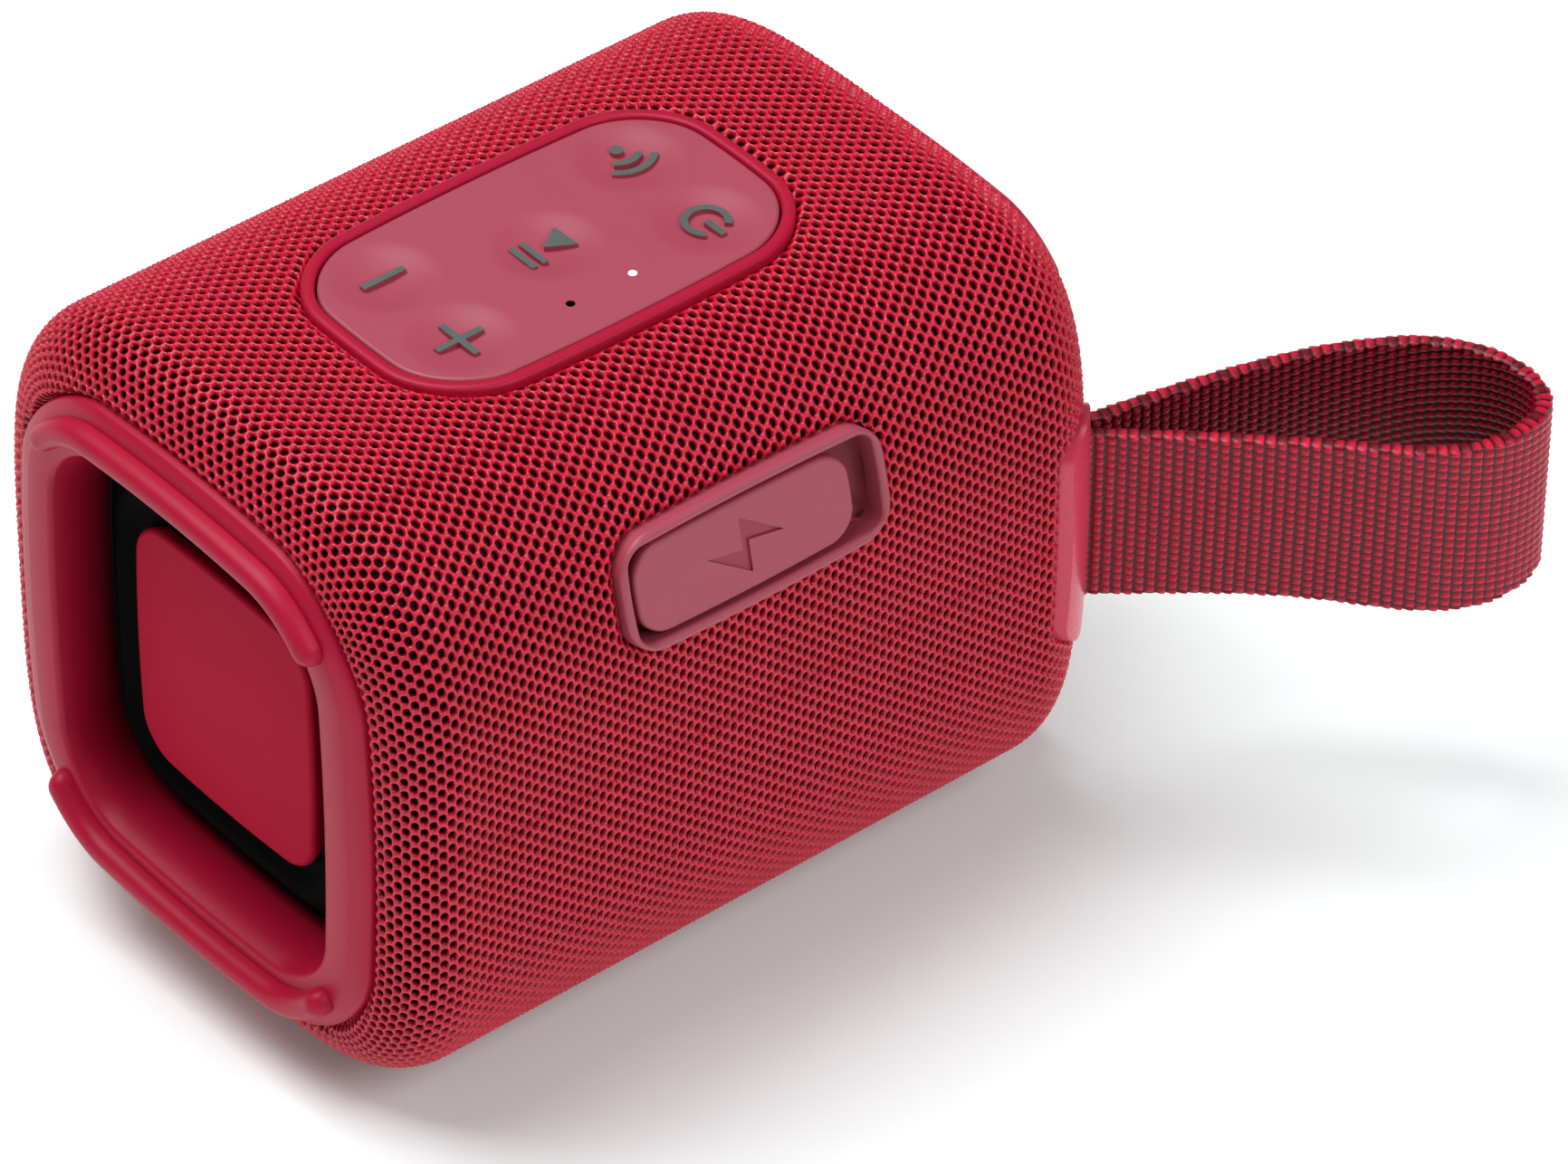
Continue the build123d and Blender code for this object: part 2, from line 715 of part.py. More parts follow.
with BuildPart() as driver_gasket:
    with BuildSketch(axis_plane.offset(driver_face_y - 0.6)):
        Circle(driver_radius + 3.3)
        Circle(driver_radius - 1.0, mode=Mode.SUBTRACT)
    extrude(amount=0.6)
    with Locations(*driver_screw_places):
        Cylinder(screw_radius, 8.0, rotation=(90, 0, 0), mode=Mode.SUBTRACT)
save(driver_gasket.part, "driver_gasket")

with BuildPart() as driver_basket:
    with BuildSketch(Plane(origin=(0, 0, body_z), x_dir=(1, 0, 0), z_dir=(0, 0, 1))):
        with BuildLine():
            Polyline(
                (coil_radius + 1.5, basket_back),
                (13.0, basket_back),
                (21.5, basket_front - 0.8),
                (driver_radius + 3.2, basket_front - 0.8),
                (driver_radius + 3.2, driver_face_y - 0.6),
                (driver_radius - 1.2, driver_face_y - 0.6),
                (driver_radius - 1.5, basket_front + 0.1),
                (12.4, basket_back + 1.0),
                (coil_radius + 1.5, basket_back + 1.0),
                close=True,
            )
        make_face()
    revolve(axis=Axis((0, 0, body_z), (0, 1, 0)))
    with Locations(*[
        Location((15.0 * math.cos(math.radians(turn)), 20.5, body_z + 15.0 * math.sin(math.radians(turn))))
        for turn in (45, 135, 225, 315)
    ]):
        Cylinder(4.4, 9.0, rotation=(90, 0, 0), mode=Mode.SUBTRACT)
    with Locations(*driver_screw_places):
        Cylinder(screw_radius, 8.0, rotation=(90, 0, 0), mode=Mode.SUBTRACT)
save(driver_basket.part, "driver_basket")

with BuildPart() as driver_magnet:
    with BuildSketch(axis_plane.offset(3.5)):
        Circle(14.0)
    extrude(amount=basket_back - 3.5)
    with BuildSketch(axis_plane.offset(basket_back)):
        Circle(coil_radius + 0.7)
        Circle(coil_radius - 0.9, mode=Mode.SUBTRACT)
    extrude(amount=-8.0, mode=Mode.SUBTRACT)
save(driver_magnet.part, "driver_magnet")

cone_back = 20.0
cone_front = 29.8
cone_radius = 17.5
with BuildPart() as driver_cone:
    with BuildSketch(Plane(origin=(0, 0, body_z), x_dir=(1, 0, 0), z_dir=(0, 0, 1))):
        with BuildLine():
            Polyline(
                (coil_radius, cone_back),
                (coil_radius + 0.6, cone_back),
                (cone_radius, cone_front - 0.5),
                (cone_radius + 0.8, cone_front - 0.5),
                (cone_radius + 0.8, cone_front),
                (cone_radius - 0.5, cone_front),
                (coil_radius, cone_back + 0.8),
                close=True,
            )
        make_face()
    revolve(axis=Axis((0, 0, body_z), (0, 1, 0)))
save(driver_cone.part, "driver_cone")

with BuildPart() as voice_coil:
    with BuildSketch(axis_plane.offset(9.0)):
        Circle(coil_radius)
        Circle(coil_radius - 0.5, mode=Mode.SUBTRACT)
    extrude(amount=cone_back + 0.8 - 9.0)
save(voice_coil.part, "voice_coil")

cap_rise = 2.6
cap_sphere = (coil_radius**2 + cap_rise**2) / (2 * cap_rise)
with BuildPart() as dust_cap:
    with Locations((0, cone_back + 0.9 + cap_rise - cap_sphere, body_z)):
        Sphere(cap_sphere)
        Sphere(cap_sphere - 0.5, mode=Mode.SUBTRACT)
    with Locations((0, cone_back + 0.9 + 5.0, body_z)):
        Box(30.0, 10.0, 30.0, mode=Mode.INTERSECT)
save(dust_cap.part, "dust_cap")

with BuildPart() as driver_surround:
    with BuildSketch(Plane(origin=(0, 0, body_z), x_dir=(1, 0, 0), z_dir=(0, 0, 1))):
        with Locations((20.0, cone_front)):
            Circle(1.9)
            Circle(1.3, mode=Mode.SUBTRACT)
        with Locations((20.0, cone_front + 5.0)):
            Rectangle(10.0, 10.0, mode=Mode.INTERSECT)
        with Locations((cone_radius + 0.4, cone_front + 0.2)):
            Rectangle(1.6, 0.4)
    revolve(axis=Axis((0, 0, body_z), (0, 1, 0)))
save(driver_surround.part, "driver_surround")

with BuildPart() as driver_screws:
    with Locations(*driver_screw_places):
        Cylinder(screw_radius, 5.6, rotation=(90, 0, 0))
    with Locations(*[(x, basket_front - 0.8 - 0.6, z) for x, y, z in driver_screw_places]):
        Cylinder(screw_head - 0.2, 1.2, rotation=(90, 0, 0))
save(driver_screws.part, "driver_screws")

# ---------------------------------------------------------------- battery and board
battery_y = -14.0
battery_z = -20.5             # above the centre of the body
cradle_bottom = -31.6
with BuildPart() as battery_cell:
    with Locations((0, battery_y, body_z + battery_z)):
        Cylinder(battery_radius, battery_length, rotation=(0, 90, 0))
save(battery_cell.part, "battery_cell")

with BuildPart() as battery_cradle:
    with Locations((0, battery_y, body_z + (cradle_bottom + battery_z) / 2)):
        Box(battery_length, 2 * battery_radius + 2.4, battery_z - cradle_bottom)
    with Locations((0, battery_y, body_z + battery_z)):
        Cylinder(battery_radius + 0.1, battery_length + 2.0, rotation=(0, 90, 0), mode=Mode.SUBTRACT)
    with Locations(*[(x, battery_y, body_z + cradle_bottom - 4.0) for x in (-22.0, 22.0)]):
        Box(4.0, 2 * battery_radius, 8.0)
    add(cavity_block, mode=Mode.INTERSECT)
save(battery_cradle.part, "battery_cradle")

with BuildPart() as main_board:
    with Locations((0, board_y, body_z + 2.0)):
        Box(60.0, 1.6, 19.0)
    with Locations(*board_posts):
        Cylinder(screw_radius + 0.05, 4.0, rotation=(90, 0, 0), mode=Mode.SUBTRACT)
save(main_board.part, "main_board")

with BuildPart() as board_screws:
    with Locations(*[(x, board_y - 2.2, z) for x, y, z in board_posts]):
        Cylinder(screw_radius, 6.0, rotation=(90, 0, 0))
    with Locations(*[(x, board_y + 1.3, z) for x, y, z in board_posts]):
        Cylinder(screw_head, 1.0, rotation=(90, 0, 0))
save(board_screws.part, "board_screws")

with BuildPart() as board_chips:
    for x, z, long, tall, thick in ((-12, 3, 9, 9, 1.2), (6, 4, 7, 7, 1.0), (18, -1, 10, 6, 3.0)):
        with Locations((x, board_y + 0.8 + thick / 2, body_z + z)):
            Box(long, thick, tall)
save(board_chips.part, "board_chips")
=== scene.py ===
# %% [markdown]
# # A small cloth-covered party speaker
#
# The speaker is a rounded block in a knitted sleeve, with a silicone control panel on top, a charging
# cover on its side, a soft ring round each end and a strap of ribbed webbing at one corner. This lesson
# dresses the imported model of its parts: each visible piece is worked out as a surface with numpy and
# given a material made of nodes, and most are set on the body that carries them. All lengths are in
# metres, and mm turns millimetres into metres.

# %% Load the imported model and keep its size
import json

import bpy
import numpy as np
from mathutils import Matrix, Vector
from mathutils.geometry import delaunay_2d_cdt


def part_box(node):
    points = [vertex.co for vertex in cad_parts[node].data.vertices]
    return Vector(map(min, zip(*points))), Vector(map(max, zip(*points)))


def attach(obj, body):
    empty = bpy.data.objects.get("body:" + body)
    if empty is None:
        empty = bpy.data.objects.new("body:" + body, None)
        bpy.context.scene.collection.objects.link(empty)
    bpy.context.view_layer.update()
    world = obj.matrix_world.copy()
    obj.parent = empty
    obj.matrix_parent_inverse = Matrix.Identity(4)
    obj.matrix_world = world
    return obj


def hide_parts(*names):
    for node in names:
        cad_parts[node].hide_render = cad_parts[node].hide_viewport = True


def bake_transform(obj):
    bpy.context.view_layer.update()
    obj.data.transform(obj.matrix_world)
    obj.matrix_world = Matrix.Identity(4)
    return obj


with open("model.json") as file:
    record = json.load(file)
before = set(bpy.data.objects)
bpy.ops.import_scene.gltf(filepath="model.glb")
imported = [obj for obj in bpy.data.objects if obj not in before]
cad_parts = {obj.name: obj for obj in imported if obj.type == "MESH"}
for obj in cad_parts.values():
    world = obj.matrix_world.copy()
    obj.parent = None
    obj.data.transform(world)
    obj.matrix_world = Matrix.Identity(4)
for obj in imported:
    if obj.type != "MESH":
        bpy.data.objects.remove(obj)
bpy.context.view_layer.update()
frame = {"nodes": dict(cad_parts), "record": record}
mm = 0.001

# %% [markdown]
# ## Sizes
#
# The main sizes come from the model's own nodes, so the looks follow the design. The sleeve gives the
# body's half sizes and its middle, and small details that the model leaves out, such as the radius of an
# edge, are named where they are used.

# %% Read the body's sizes from the sleeve
sleeve_low, sleeve_high = (np.array(corner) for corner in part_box("fabric_sleeve"))
centre = (sleeve_low + sleeve_high) / 2
half_length, half_width, half_height = (sleeve_high - sleeve_low) / 2
mid_z = centre[2]
floor_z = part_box("foot_pad")[0].z
print("sleeve half sizes (mm):", np.round(np.array([half_length, half_width, half_height]) / mm, 2))

# %% [markdown]
# ## The camera
#
# A long lens from the front left, well above the speaker, keeps its edges nearly parallel. The camera is
# set by its place and by three angles: how far it is tipped up from looking straight down, how far it is
# rolled, and how far it is turned round the vertical.

# %% Place the camera
camera_data = bpy.data.cameras.new("camera")
camera_data.lens = 210.35
camera_data.sensor_width = 36.0
camera_data.clip_end = 20.0
camera = bpy.data.objects.new("camera", camera_data)
camera.location = (-0.4961, -0.6261, mid_z + 0.6499)
camera.rotation_euler = np.radians((50.5521, -0.5333, -39.8288))
bpy.context.scene.collection.objects.link(camera)
bpy.context.scene.camera = camera
print("camera is", round((camera.location - Vector(centre)).length, 3), "m from the speaker")

# %% [markdown]
# ## The studio
#
# The floor is a wide white plate. A large soft lamp stands high up behind the speaker, so its shadow is
# short and falls towards the viewer. Two weaker lamps, in front and at the left, keep the near sides
# readable, and a pale world fills the rest. The floor glows a little by itself, so it stays white around
# the shadow.

# %% Floor, lamps and world
def lamp(name, place, size, watts):
    """Square area lamp at a place, turned so that its back-to-front line runs to the speaker's middle."""
    data = bpy.data.lights.new(name, "AREA")
    data.size = size
    data.energy = watts
    made = bpy.data.objects.new(name, data)
    made.location = place
    made.rotation_euler = (Vector(centre) - Vector(place)).to_track_quat("-Z", "Y").to_euler()
    bpy.context.scene.collection.objects.link(made)


lamp("key", (-0.4, 0.8, 2.4), 1.7, 66.0)
lamp("left", (-1.1, -0.5, 0.5), 0.5, 0.5)
lamp("front", (0.2, -0.95, 0.85), 0.7, 6.5)
world = bpy.data.worlds.new("world")
world.use_nodes = True
world.node_tree.nodes["Background"].inputs["Color"].default_value = (1.0, 1.0, 1.0, 1.0)
world.node_tree.nodes["Background"].inputs["Strength"].default_value = 0.17
bpy.context.scene.world = world
bpy.context.scene.view_settings.view_transform = "Standard"
floor_mesh = bpy.data.meshes.new("floor")
reach = 6.0
floor_mesh.from_pydata(
    [(-reach, -reach, floor_z), (reach, -reach, floor_z), (reach, reach, floor_z), (-reach, reach, floor_z)],
    [], [(0, 1, 2, 3)],
)
floor_white = bpy.data.materials.new("floor_white")
floor_white.use_nodes = True
floor_shader = floor_white.node_tree.nodes["Principled BSDF"]
floor_shader.inputs["Base Color"].default_value = (0.94, 1.0, 1.0, 1.0)
floor_shader.inputs["Specular IOR Level"].default_value = 0.0
floor_shader.inputs["Emission Color"].default_value = (0.9, 1.0, 1.0, 1.0)
floor_shader.inputs["Emission Strength"].default_value = 0.06
floor_mesh.materials.append(floor_white)
floor = bpy.data.objects.new("floor", floor_mesh)
bpy.context.scene.collection.objects.link(floor)
print("floor at", round(floor_z / mm, 2), "mm")

# %% [markdown]
# ## Materials as expressions
#
# A material is a graph of nodes. A small class wraps one output of a node, so that ordinary arithmetic on
# it adds Math nodes, and a graph has one method that adds any other node from its type, its settings and
# its inputs.

# %% Sockets that do arithmetic, and the graph they live in
class Socket:
    """One output of a node. Arithmetic on it adds a Math node and gives that node's output."""

    def __init__(self, graph, output):
        self.graph = graph
        self.output = output

    def math(self, operation, first, second):
        return self.graph.node("ShaderNodeMath", {"operation": operation}, {0: first, 1: second})

    def __add__(self, other):
        return self.math("ADD", self, other)

    def __radd__(self, other):
        return self.math("ADD", other, self)

    def __sub__(self, other):
        return self.math("SUBTRACT", self, other)

    def __rsub__(self, other):
        return self.math("SUBTRACT", other, self)

    def __mul__(self, other):
        return self.math("MULTIPLY", self, other)

    def __rmul__(self, other):
        return self.math("MULTIPLY", other, self)

    def __pow__(self, other):
        return self.math("POWER", self, other)


class Graph:
    """The node graph of one new material, ending in a Principled shader."""

    def __init__(self, name):
        self.material = bpy.data.materials.new(name)
        self.material.use_nodes = True
        self.tree = self.material.node_tree
        self.shader = self.tree.nodes["Principled BSDF"]

    def node(self, kind, settings=None, inputs=None, output=0):
        """Adds a node of this type, makes its settings first, then fills or links its inputs."""
        made = self.tree.nodes.new(kind)
        for key, value in (settings or {}).items():
            setattr(made, key, value)
        self.fill(made, inputs or {})
        return Socket(self, made.outputs[output])

    def fill(self, made, inputs):
        """Links each input that is given a socket, and sets each that is given a value."""
        for key, value in inputs.items():
            if isinstance(value, Socket):
                self.tree.links.new(value.output, made.inputs[key])
            else:
                made.inputs[key].default_value = value

    def place(self):
        """The object's own coordinates, in metres."""
        return self.node("ShaderNodeTexCoord", output="Object")

    def noise(self, size, detail=3.0, stretch=(1.0, 1.0, 1.0)):
        """Cloudy noise from 0 to 1 whose patches are about this size across, in metres."""
        place = self.node("ShaderNodeMapping", {}, {"Vector": self.place(), "Scale": stretch})
        return self.node("ShaderNodeTexNoise", {}, {"Vector": place, "Scale": 1.0 / size, "Detail": detail})

    def blend(self, amount, first, second):
        """Colour between two colours, by an amount from 0 to 1. A Mix node has sockets for every kind of
        value, and 6, 7 and 2 are the numbers of those for colours."""
        return self.node("ShaderNodeMix", {"data_type": "RGBA"}, {0: amount, 6: first, 7: second}, output=2)

    def bump(self, height, depth, strength=1.0):
        """Normal bent by a height from 0 to 1 that stands for this many metres."""
        return self.node("ShaderNodeBump", {}, {"Height": height, "Distance": depth, "Strength": strength})

    def finish(self, **inputs):
        """Fills the shader's inputs, with underscores for the spaces in their names."""
        self.fill(self.shader, {key.replace("_", " "): value for key, value in inputs.items()})
        return self.material


def paint(r, g, b):
    """Colour from its 0 to 255 screen values, turned into the linear values that shaders take."""
    values = np.array([r, g, b]) / 255
    return (*np.where(values < 0.04045, values / 12.92, ((values + 0.055) / 1.055) ** 2.4), 1.0)


# %% [markdown]
# ## Moulded finishes
#
# Most pieces are moulded or pressed. Each has two close shades that drift into each other, a roughness
# that varies a little, and a fine grain, so one function with a few values makes them all.

# %% One function for the moulded finishes
def moulded(name, first, second, rough, grain=0.00035, depth=0.00001, metallic=0.0, **extra):
    """Two shades mixed by a broad noise, with a fine grain in the bump and a broken roughness."""
    graph = Graph(name)
    drift = graph.noise(0.012)
    fine = graph.noise(grain, 2.0)
    return graph.finish(
        Base_Color=graph.blend(drift, first, second),
        Roughness=rough - 0.05 + 0.1 * fine,
        Normal=graph.bump(fine, depth),
        Metallic=metallic,
        **extra,
    )


finishes = {
    "red_plastic": moulded(
        "red_plastic", paint(166, 14, 48), paint(173, 18, 53), 0.42, Specular_IOR_Level=0.2,
    ),
    "red_silicone": moulded("red_silicone", paint(160, 62, 80), paint(166, 67, 85), 0.46, 0.0004, 0.000012),
    "radiator_skin": moulded(
        "radiator_skin", paint(170, 8, 44), paint(176, 12, 48), 0.55, Specular_IOR_Level=0.05,
    ),
    "black_rubber": moulded("black_rubber", paint(1, 1, 1), paint(5, 4, 4), 0.7, Specular_IOR_Level=0.03),
    "cabinet_plastic": moulded("cabinet_plastic", paint(38, 36, 38), paint(46, 44, 46), 0.55),
    "steel": moulded("steel", paint(168, 170, 172), paint(190, 192, 194), 0.32, metallic=1.0),
    "driver_metal": moulded("driver_metal", paint(30, 30, 32), paint(44, 44, 47), 0.4, metallic=0.6),
    "cone_paper": moulded("cone_paper", paint(34, 33, 34), paint(48, 46, 47), 0.8, 0.0002, 0.00003),
    "copper": moulded("copper", paint(190, 110, 70), paint(212, 132, 88), 0.3, metallic=1.0),
    "board_green": moulded("board_green", paint(12, 84, 48), paint(20, 98, 58), 0.35),
    "chip_black": moulded("chip_black", paint(24, 24, 26), paint(36, 36, 38), 0.6),
    "light_white": moulded(
        "light_white", paint(250, 250, 246), paint(255, 255, 252), 0.3,
        Emission_Color=(1.0, 1.0, 0.96, 1.0), Emission_Strength=1.2,
    ),
    "cell_wrap": moulded("cell_wrap", paint(36, 92, 150), paint(44, 104, 164), 0.35),
}
slot_of = {part["node"]: part["material_slot"] for part in frame["record"]["subparts"]}
for name, node in frame["nodes"].items():
    if slot_of[name] in finishes:
        node.data.materials.clear()
        node.data.materials.append(finishes[slot_of[name]])
# The anchor is the ring's red plastic, made glossier, with a lighter and pinker colour that paints in the
# highlight it catches.
anchor_gloss_and_highlight = moulded("anchor_gloss_and_highlight", paint(206, 56, 84), paint(213, 62, 90), 0.28)
frame["nodes"]["strap_anchor"].data.materials[0] = anchor_gloss_and_highlight
print("moulded finishes:", len(finishes))

# %% [markdown]
# ## Meshes from arrays
#
# Every new surface is a block of points and a block of corner numbers, so one function turns arrays into
# a mesh. Most surfaces are a grid: rows of points, joined to the next row, that may close on themselves.

# %% Turn arrays into pieces
def piece(name, points, blocks, material, body):
    """Mesh object from points in metres and blocks of faces, each block with one number of corners."""
    blocks = [np.asarray(block, np.int32) for block in blocks]
    sizes = np.concatenate([np.full(len(block), block.shape[1]) for block in blocks])
    mesh = bpy.data.meshes.new(name)
    mesh.vertices.add(len(points))
    mesh.vertices.foreach_set("co", np.asarray(points, np.float32).ravel())
    mesh.loops.add(int(sizes.sum()))
    mesh.loops.foreach_set("vertex_index", np.concatenate([block.ravel() for block in blocks]))
    mesh.polygons.add(len(sizes))
    mesh.polygons.foreach_set("loop_start", (np.cumsum(sizes) - sizes).astype(np.int32))
    mesh.update(calc_edges=True)
    mesh.shade_smooth()
    mesh.materials.append(material)
    made = bpy.data.objects.new(name, mesh)
    bpy.context.scene.collection.objects.link(made)
    if body:
        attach(made, body)
    return made


def grid_faces(rows, columns, close_rows=False, close_columns=True):
    """Corner numbers of the quads between the rows and columns of a grid of points."""
    r = np.arange(rows if close_rows else rows - 1)[:, None]
    c = np.arange(columns if close_columns else columns - 1)[None, :]
    r2 = (r + 1) % rows
    c2 = (c + 1) % columns
    corners = [r * columns + c, r * columns + c2, r2 * columns + c2, r2 * columns + c]
    return np.stack(corners, -1).reshape(-1, 4)


# %% [markdown]
# ## Bowed rectangles
#
# The ring, the panel and the cover share one outline: a rectangle with round corners whose sides bow out
# a little. It is run as eight equal stretches, four sides and four corners, so outlines of different
# sizes line up corner to corner and can be joined by a skin.

# %% The outline and the skin between outlines
turn_knots = np.array([0, 0.5, 1.5, 2.5, 3.5, 4.5, 5.5, 6.5, 7.5, 8])
outline_count = 256


def bowed_outline(half_a, half_b, corner, bow=0.0):
    """A circle of the corner's radius is carried round a smaller rectangle, turning only at its corners; then
    each side is drawn in towards its ends by a parabola whose depth is the bow."""
    u = np.arange(outline_count) * 8 / outline_count
    turn = np.interp(u, turn_knots, np.radians([0, 0, 90, 90, 180, 180, 270, 270, 360, 360]))
    a, b = half_a - corner, half_b - corner
    x = np.interp(u, turn_knots, [a, a, a, -a, -a, -a, -a, a, a, a]) + corner * np.cos(turn)
    y = np.interp(u, turn_knots, [0, b, b, b, b, -b, -b, -b, -b, 0]) + corner * np.sin(turn)
    return np.stack([
        x * (1 - bow / half_a * (y / half_b) ** 2),
        y * (1 - bow / half_b * (x / half_a) ** 2),
    ], -1)


def skin(stations):
    """Rows of points, one row for each station of half sizes, corner, bow and height."""
    return np.stack([
        np.column_stack([bowed_outline(a, b, corner, bow), np.full(outline_count, height)])
        for a, b, corner, bow, height in stations
    ])


def rounded_step(outer, inner, base, rise, count=6):
    """Shares of the way from an outer to an inner size and from a base to a rise, along a quarter circle."""
    angle = np.linspace(0, np.pi / 2, count)
    return outer + (inner - outer) * (1 - np.cos(angle)), base + rise * np.sin(angle)

# %% [markdown]
# ## The knitted sleeve
#
# The sleeve is an open knit: rows of six-sided holes between round strands. Drawn as a bump it would look
# flat from the side, so each hole is real: twelve points on the crest of the strands, twelve just inside
# the hole and twelve at its bottom. One cell is worked out flat and laid on the body thousands of times
# by arrays. The body is a loop of four bowed sides, carried along its length and turned in at both ends.

# %% The body's surface, from flat coordinates to space
section_power = 3.78
end_round = 9.0 * mm
last_turn = 1.56
straight_end = half_length - end_round
round_angle = np.linspace(0, 2 * np.pi, 8001)
section_radius = (
    np.abs(np.cos(round_angle) / half_width) ** section_power
    + np.abs(np.sin(round_angle) / half_height) ** section_power
) ** (-1 / section_power)
section = np.column_stack([section_radius * np.cos(round_angle), section_radius * np.sin(round_angle)])
section_steps = np.linalg.norm(np.diff(section, axis=0), axis=1)
section_length = np.concatenate([[0], np.cumsum(section_steps)])
girth = section_length[-1]


def on_body(along, around, height):
    """Point of the body's skin. Along is the distance from the middle towards the strap end, around is the
    distance round the section from the front's middle, and height stands out from the cloth's crest. Past the
    straight stretch the section turns inwards along a circle."""
    along, around = np.broadcast_arrays(along, around)
    spot = np.mod(around, girth)
    y = np.interp(spot, section_length, section[:, 0])
    z = np.interp(spot, section_length, section[:, 1])
    out_y = np.sign(y) * np.abs(y / half_width) ** (section_power - 1) / half_width
    out_z = np.sign(z) * np.abs(z / half_height) ** (section_power - 1) / half_height
    size = np.hypot(out_y, out_z)
    out_y, out_z = out_y / size, out_z / size
    turn = np.clip((np.abs(along) - straight_end) / end_round, 0, last_turn)
    inward = height * np.cos(turn) - end_round * (1 - np.cos(turn))
    x = np.where(turn > 0, np.sign(along) * (straight_end + (end_round + height) * np.sin(turn)), along)
    return np.stack([x, y + inward * out_y, mid_z + z + inward * out_z], -1)


print("girth of the sleeve:", round(girth / mm, 1), "mm")

# %% [markdown]
# The cloth stops where the panel, the cover, the anchor, the foot and the two rings come through it, and
# it dips into a dark groove along each of them. The distance to an outline says which holes to leave out
# and how deep to sink the rest.

# %% Distances to the pieces that come through the cloth
def to_rectangle(a, b, half_a, half_b, corner, bow):
    """Distance from a rectangle with round corners, negative inside it. The bow is undone first, by spreading
    the two coordinates as much as the outline was drawn in."""
    spread_a = a / (1 - bow / half_a * np.clip(b / half_b, -1.2, 1.2) ** 2)
    spread_b = b / (1 - bow / half_b * np.clip(a / half_a, -1.2, 1.2) ** 2)
    da = np.abs(spread_a) - (half_a - corner)
    db = np.abs(spread_b) - (half_b - corner)
    outside = np.hypot(np.maximum(da, 0), np.maximum(db, 0))
    return outside + np.minimum(np.maximum(da, db), 0) - corner


def plane_of(origin, first, second):
    """Function that gives a point's two coordinates in a plane, and its height over it."""
    origin, first, second = (np.array(item, float) for item in (origin, first, second))
    out = np.cross(first, second)
    return lambda p: ((p - origin) @ first, (p - origin) @ second, (p - origin) @ out)


cover_tilt = np.radians(14)
cover_first = np.array([1.0, 0.0, 0.0])
cover_second = np.array([0.0, np.sin(cover_tilt), np.cos(cover_tilt)])
cover_out = np.cross(cover_first, cover_second)
cover_middle = np.array([-1.5 * mm, -37.3 * mm, mid_z + 23.3 * mm])
lead = np.radians(-36)
strap_along = np.array([np.cos(lead), np.sin(lead), 0.0])
strap_across = np.array([-np.sin(lead), np.cos(lead), 0.0])
strap_root = np.array([half_length - end_round, -(half_width - 9.0 * mm), mid_z])
anchor_lead = np.radians(-44)
anchor_across = np.array([-np.sin(anchor_lead), np.cos(anchor_lead), 0.0])
in_panel = plane_of((0, 0, mid_z + 40.4 * mm), (1, 0, 0), (0, 1, 0))
in_cover = plane_of(cover_middle, cover_first, cover_second)
in_anchor = plane_of(strap_root - (0, 0, 0.9 * mm), anchor_across, (0, 0, 1))
in_foot = plane_of((0, 0, floor_z), (1, 0, 0), (0, -1, 0))


# Each row: the plane, the outline's two half sizes, corner and bow, and how low a point may lie and still be
# at that outline, all in millimetres. The ring has no plane, as it lies across the speaker's length.
hardware = (
    (in_panel, 28.0, 16.8, 11.0, 0.9, -4.0),
    (in_cover, 18.5, 7.4, 4.0, 0.35, -4.0),
    (in_anchor, 5.3, 15.5, 4.6, 0.0, 0.0),
    (in_foot, 30.0, 17.0, 10.0, 0.9, -4.0),
)
ring_outline = (31.3, 33.9, 15.0, 2.4)
ring_zone = 5 * mm


def to_hardware(points):
    """Distance from the nearest outline that comes through the cloth, negative inside it."""
    result = np.full(points.shape[:-1], 1.0)
    for place, half_a, half_b, corner, bow, lowest in hardware:
        a, b, out = place(points)
        distance = to_rectangle(a, b, half_a * mm, half_b * mm, corner * mm, bow * mm)
        result = np.where(out > lowest * mm, np.minimum(result, distance), result)
    ring = to_rectangle(points[..., 1], points[..., 2] - mid_z, *(np.array(ring_outline) * mm))
    return np.where(np.abs(points[..., 0]) > half_length - ring_zone, np.minimum(result, ring), result)


# %% The knit: a grid of six-sided cells
rows = 156
pitch_around = girth / rows
pitch_along = 2.05 * mm
half_columns = np.arange(-54, 55)
cell_along, cell_row = np.meshgrid(half_columns, np.arange(rows), indexing="ij")
centre_along = cell_along.ravel() * pitch_along / 2
centre_around = (cell_row + (cell_along % 2) / 2).ravel() * pitch_around
centre_points = on_body(centre_along, centre_around, 0.0)
covered = 0.45 * mm
kept = to_hardware(centre_points) > -covered
centre_along, centre_around = centre_along[kept], centre_around[kept]
short, tall, wide = 0.3 * mm, pitch_around / 2, 0.725 * mm
corner_along = np.array([wide, short, -short, -wide, -short, short])
corner_around = np.array([0, tall, tall, 0, -tall, -tall])
crest_along = np.stack([corner_along, (corner_along + np.roll(corner_along, -1)) / 2], 1).ravel()
crest_around = np.stack([corner_around, (corner_around + np.roll(corner_around, -1)) / 2], 1).ravel()
knot = np.tile([1.0, 0.0], 6)
hole_angle = np.arctan2(crest_around, crest_along)
hole_power = 3
hole_size = (
    np.abs(np.cos(hole_angle)) ** hole_power + np.abs(np.sin(hole_angle)) ** hole_power
) ** (-1 / hole_power)
hole_along = 0.44 * mm * hole_size * np.cos(hole_angle)
hole_around = 0.57 * mm * hole_size * np.sin(hole_angle)
print("holes in the knit:", len(centre_along))


# %% Lay the cells on the body and cut the cloth into pieces
groove_width = 1.2 * mm
groove_depth = 0.9 * mm
knot_rise = 0.13 * mm
strand_drop = 0.04 * mm
lip_drop = 0.13 * mm
wall_drop = 0.75 * mm


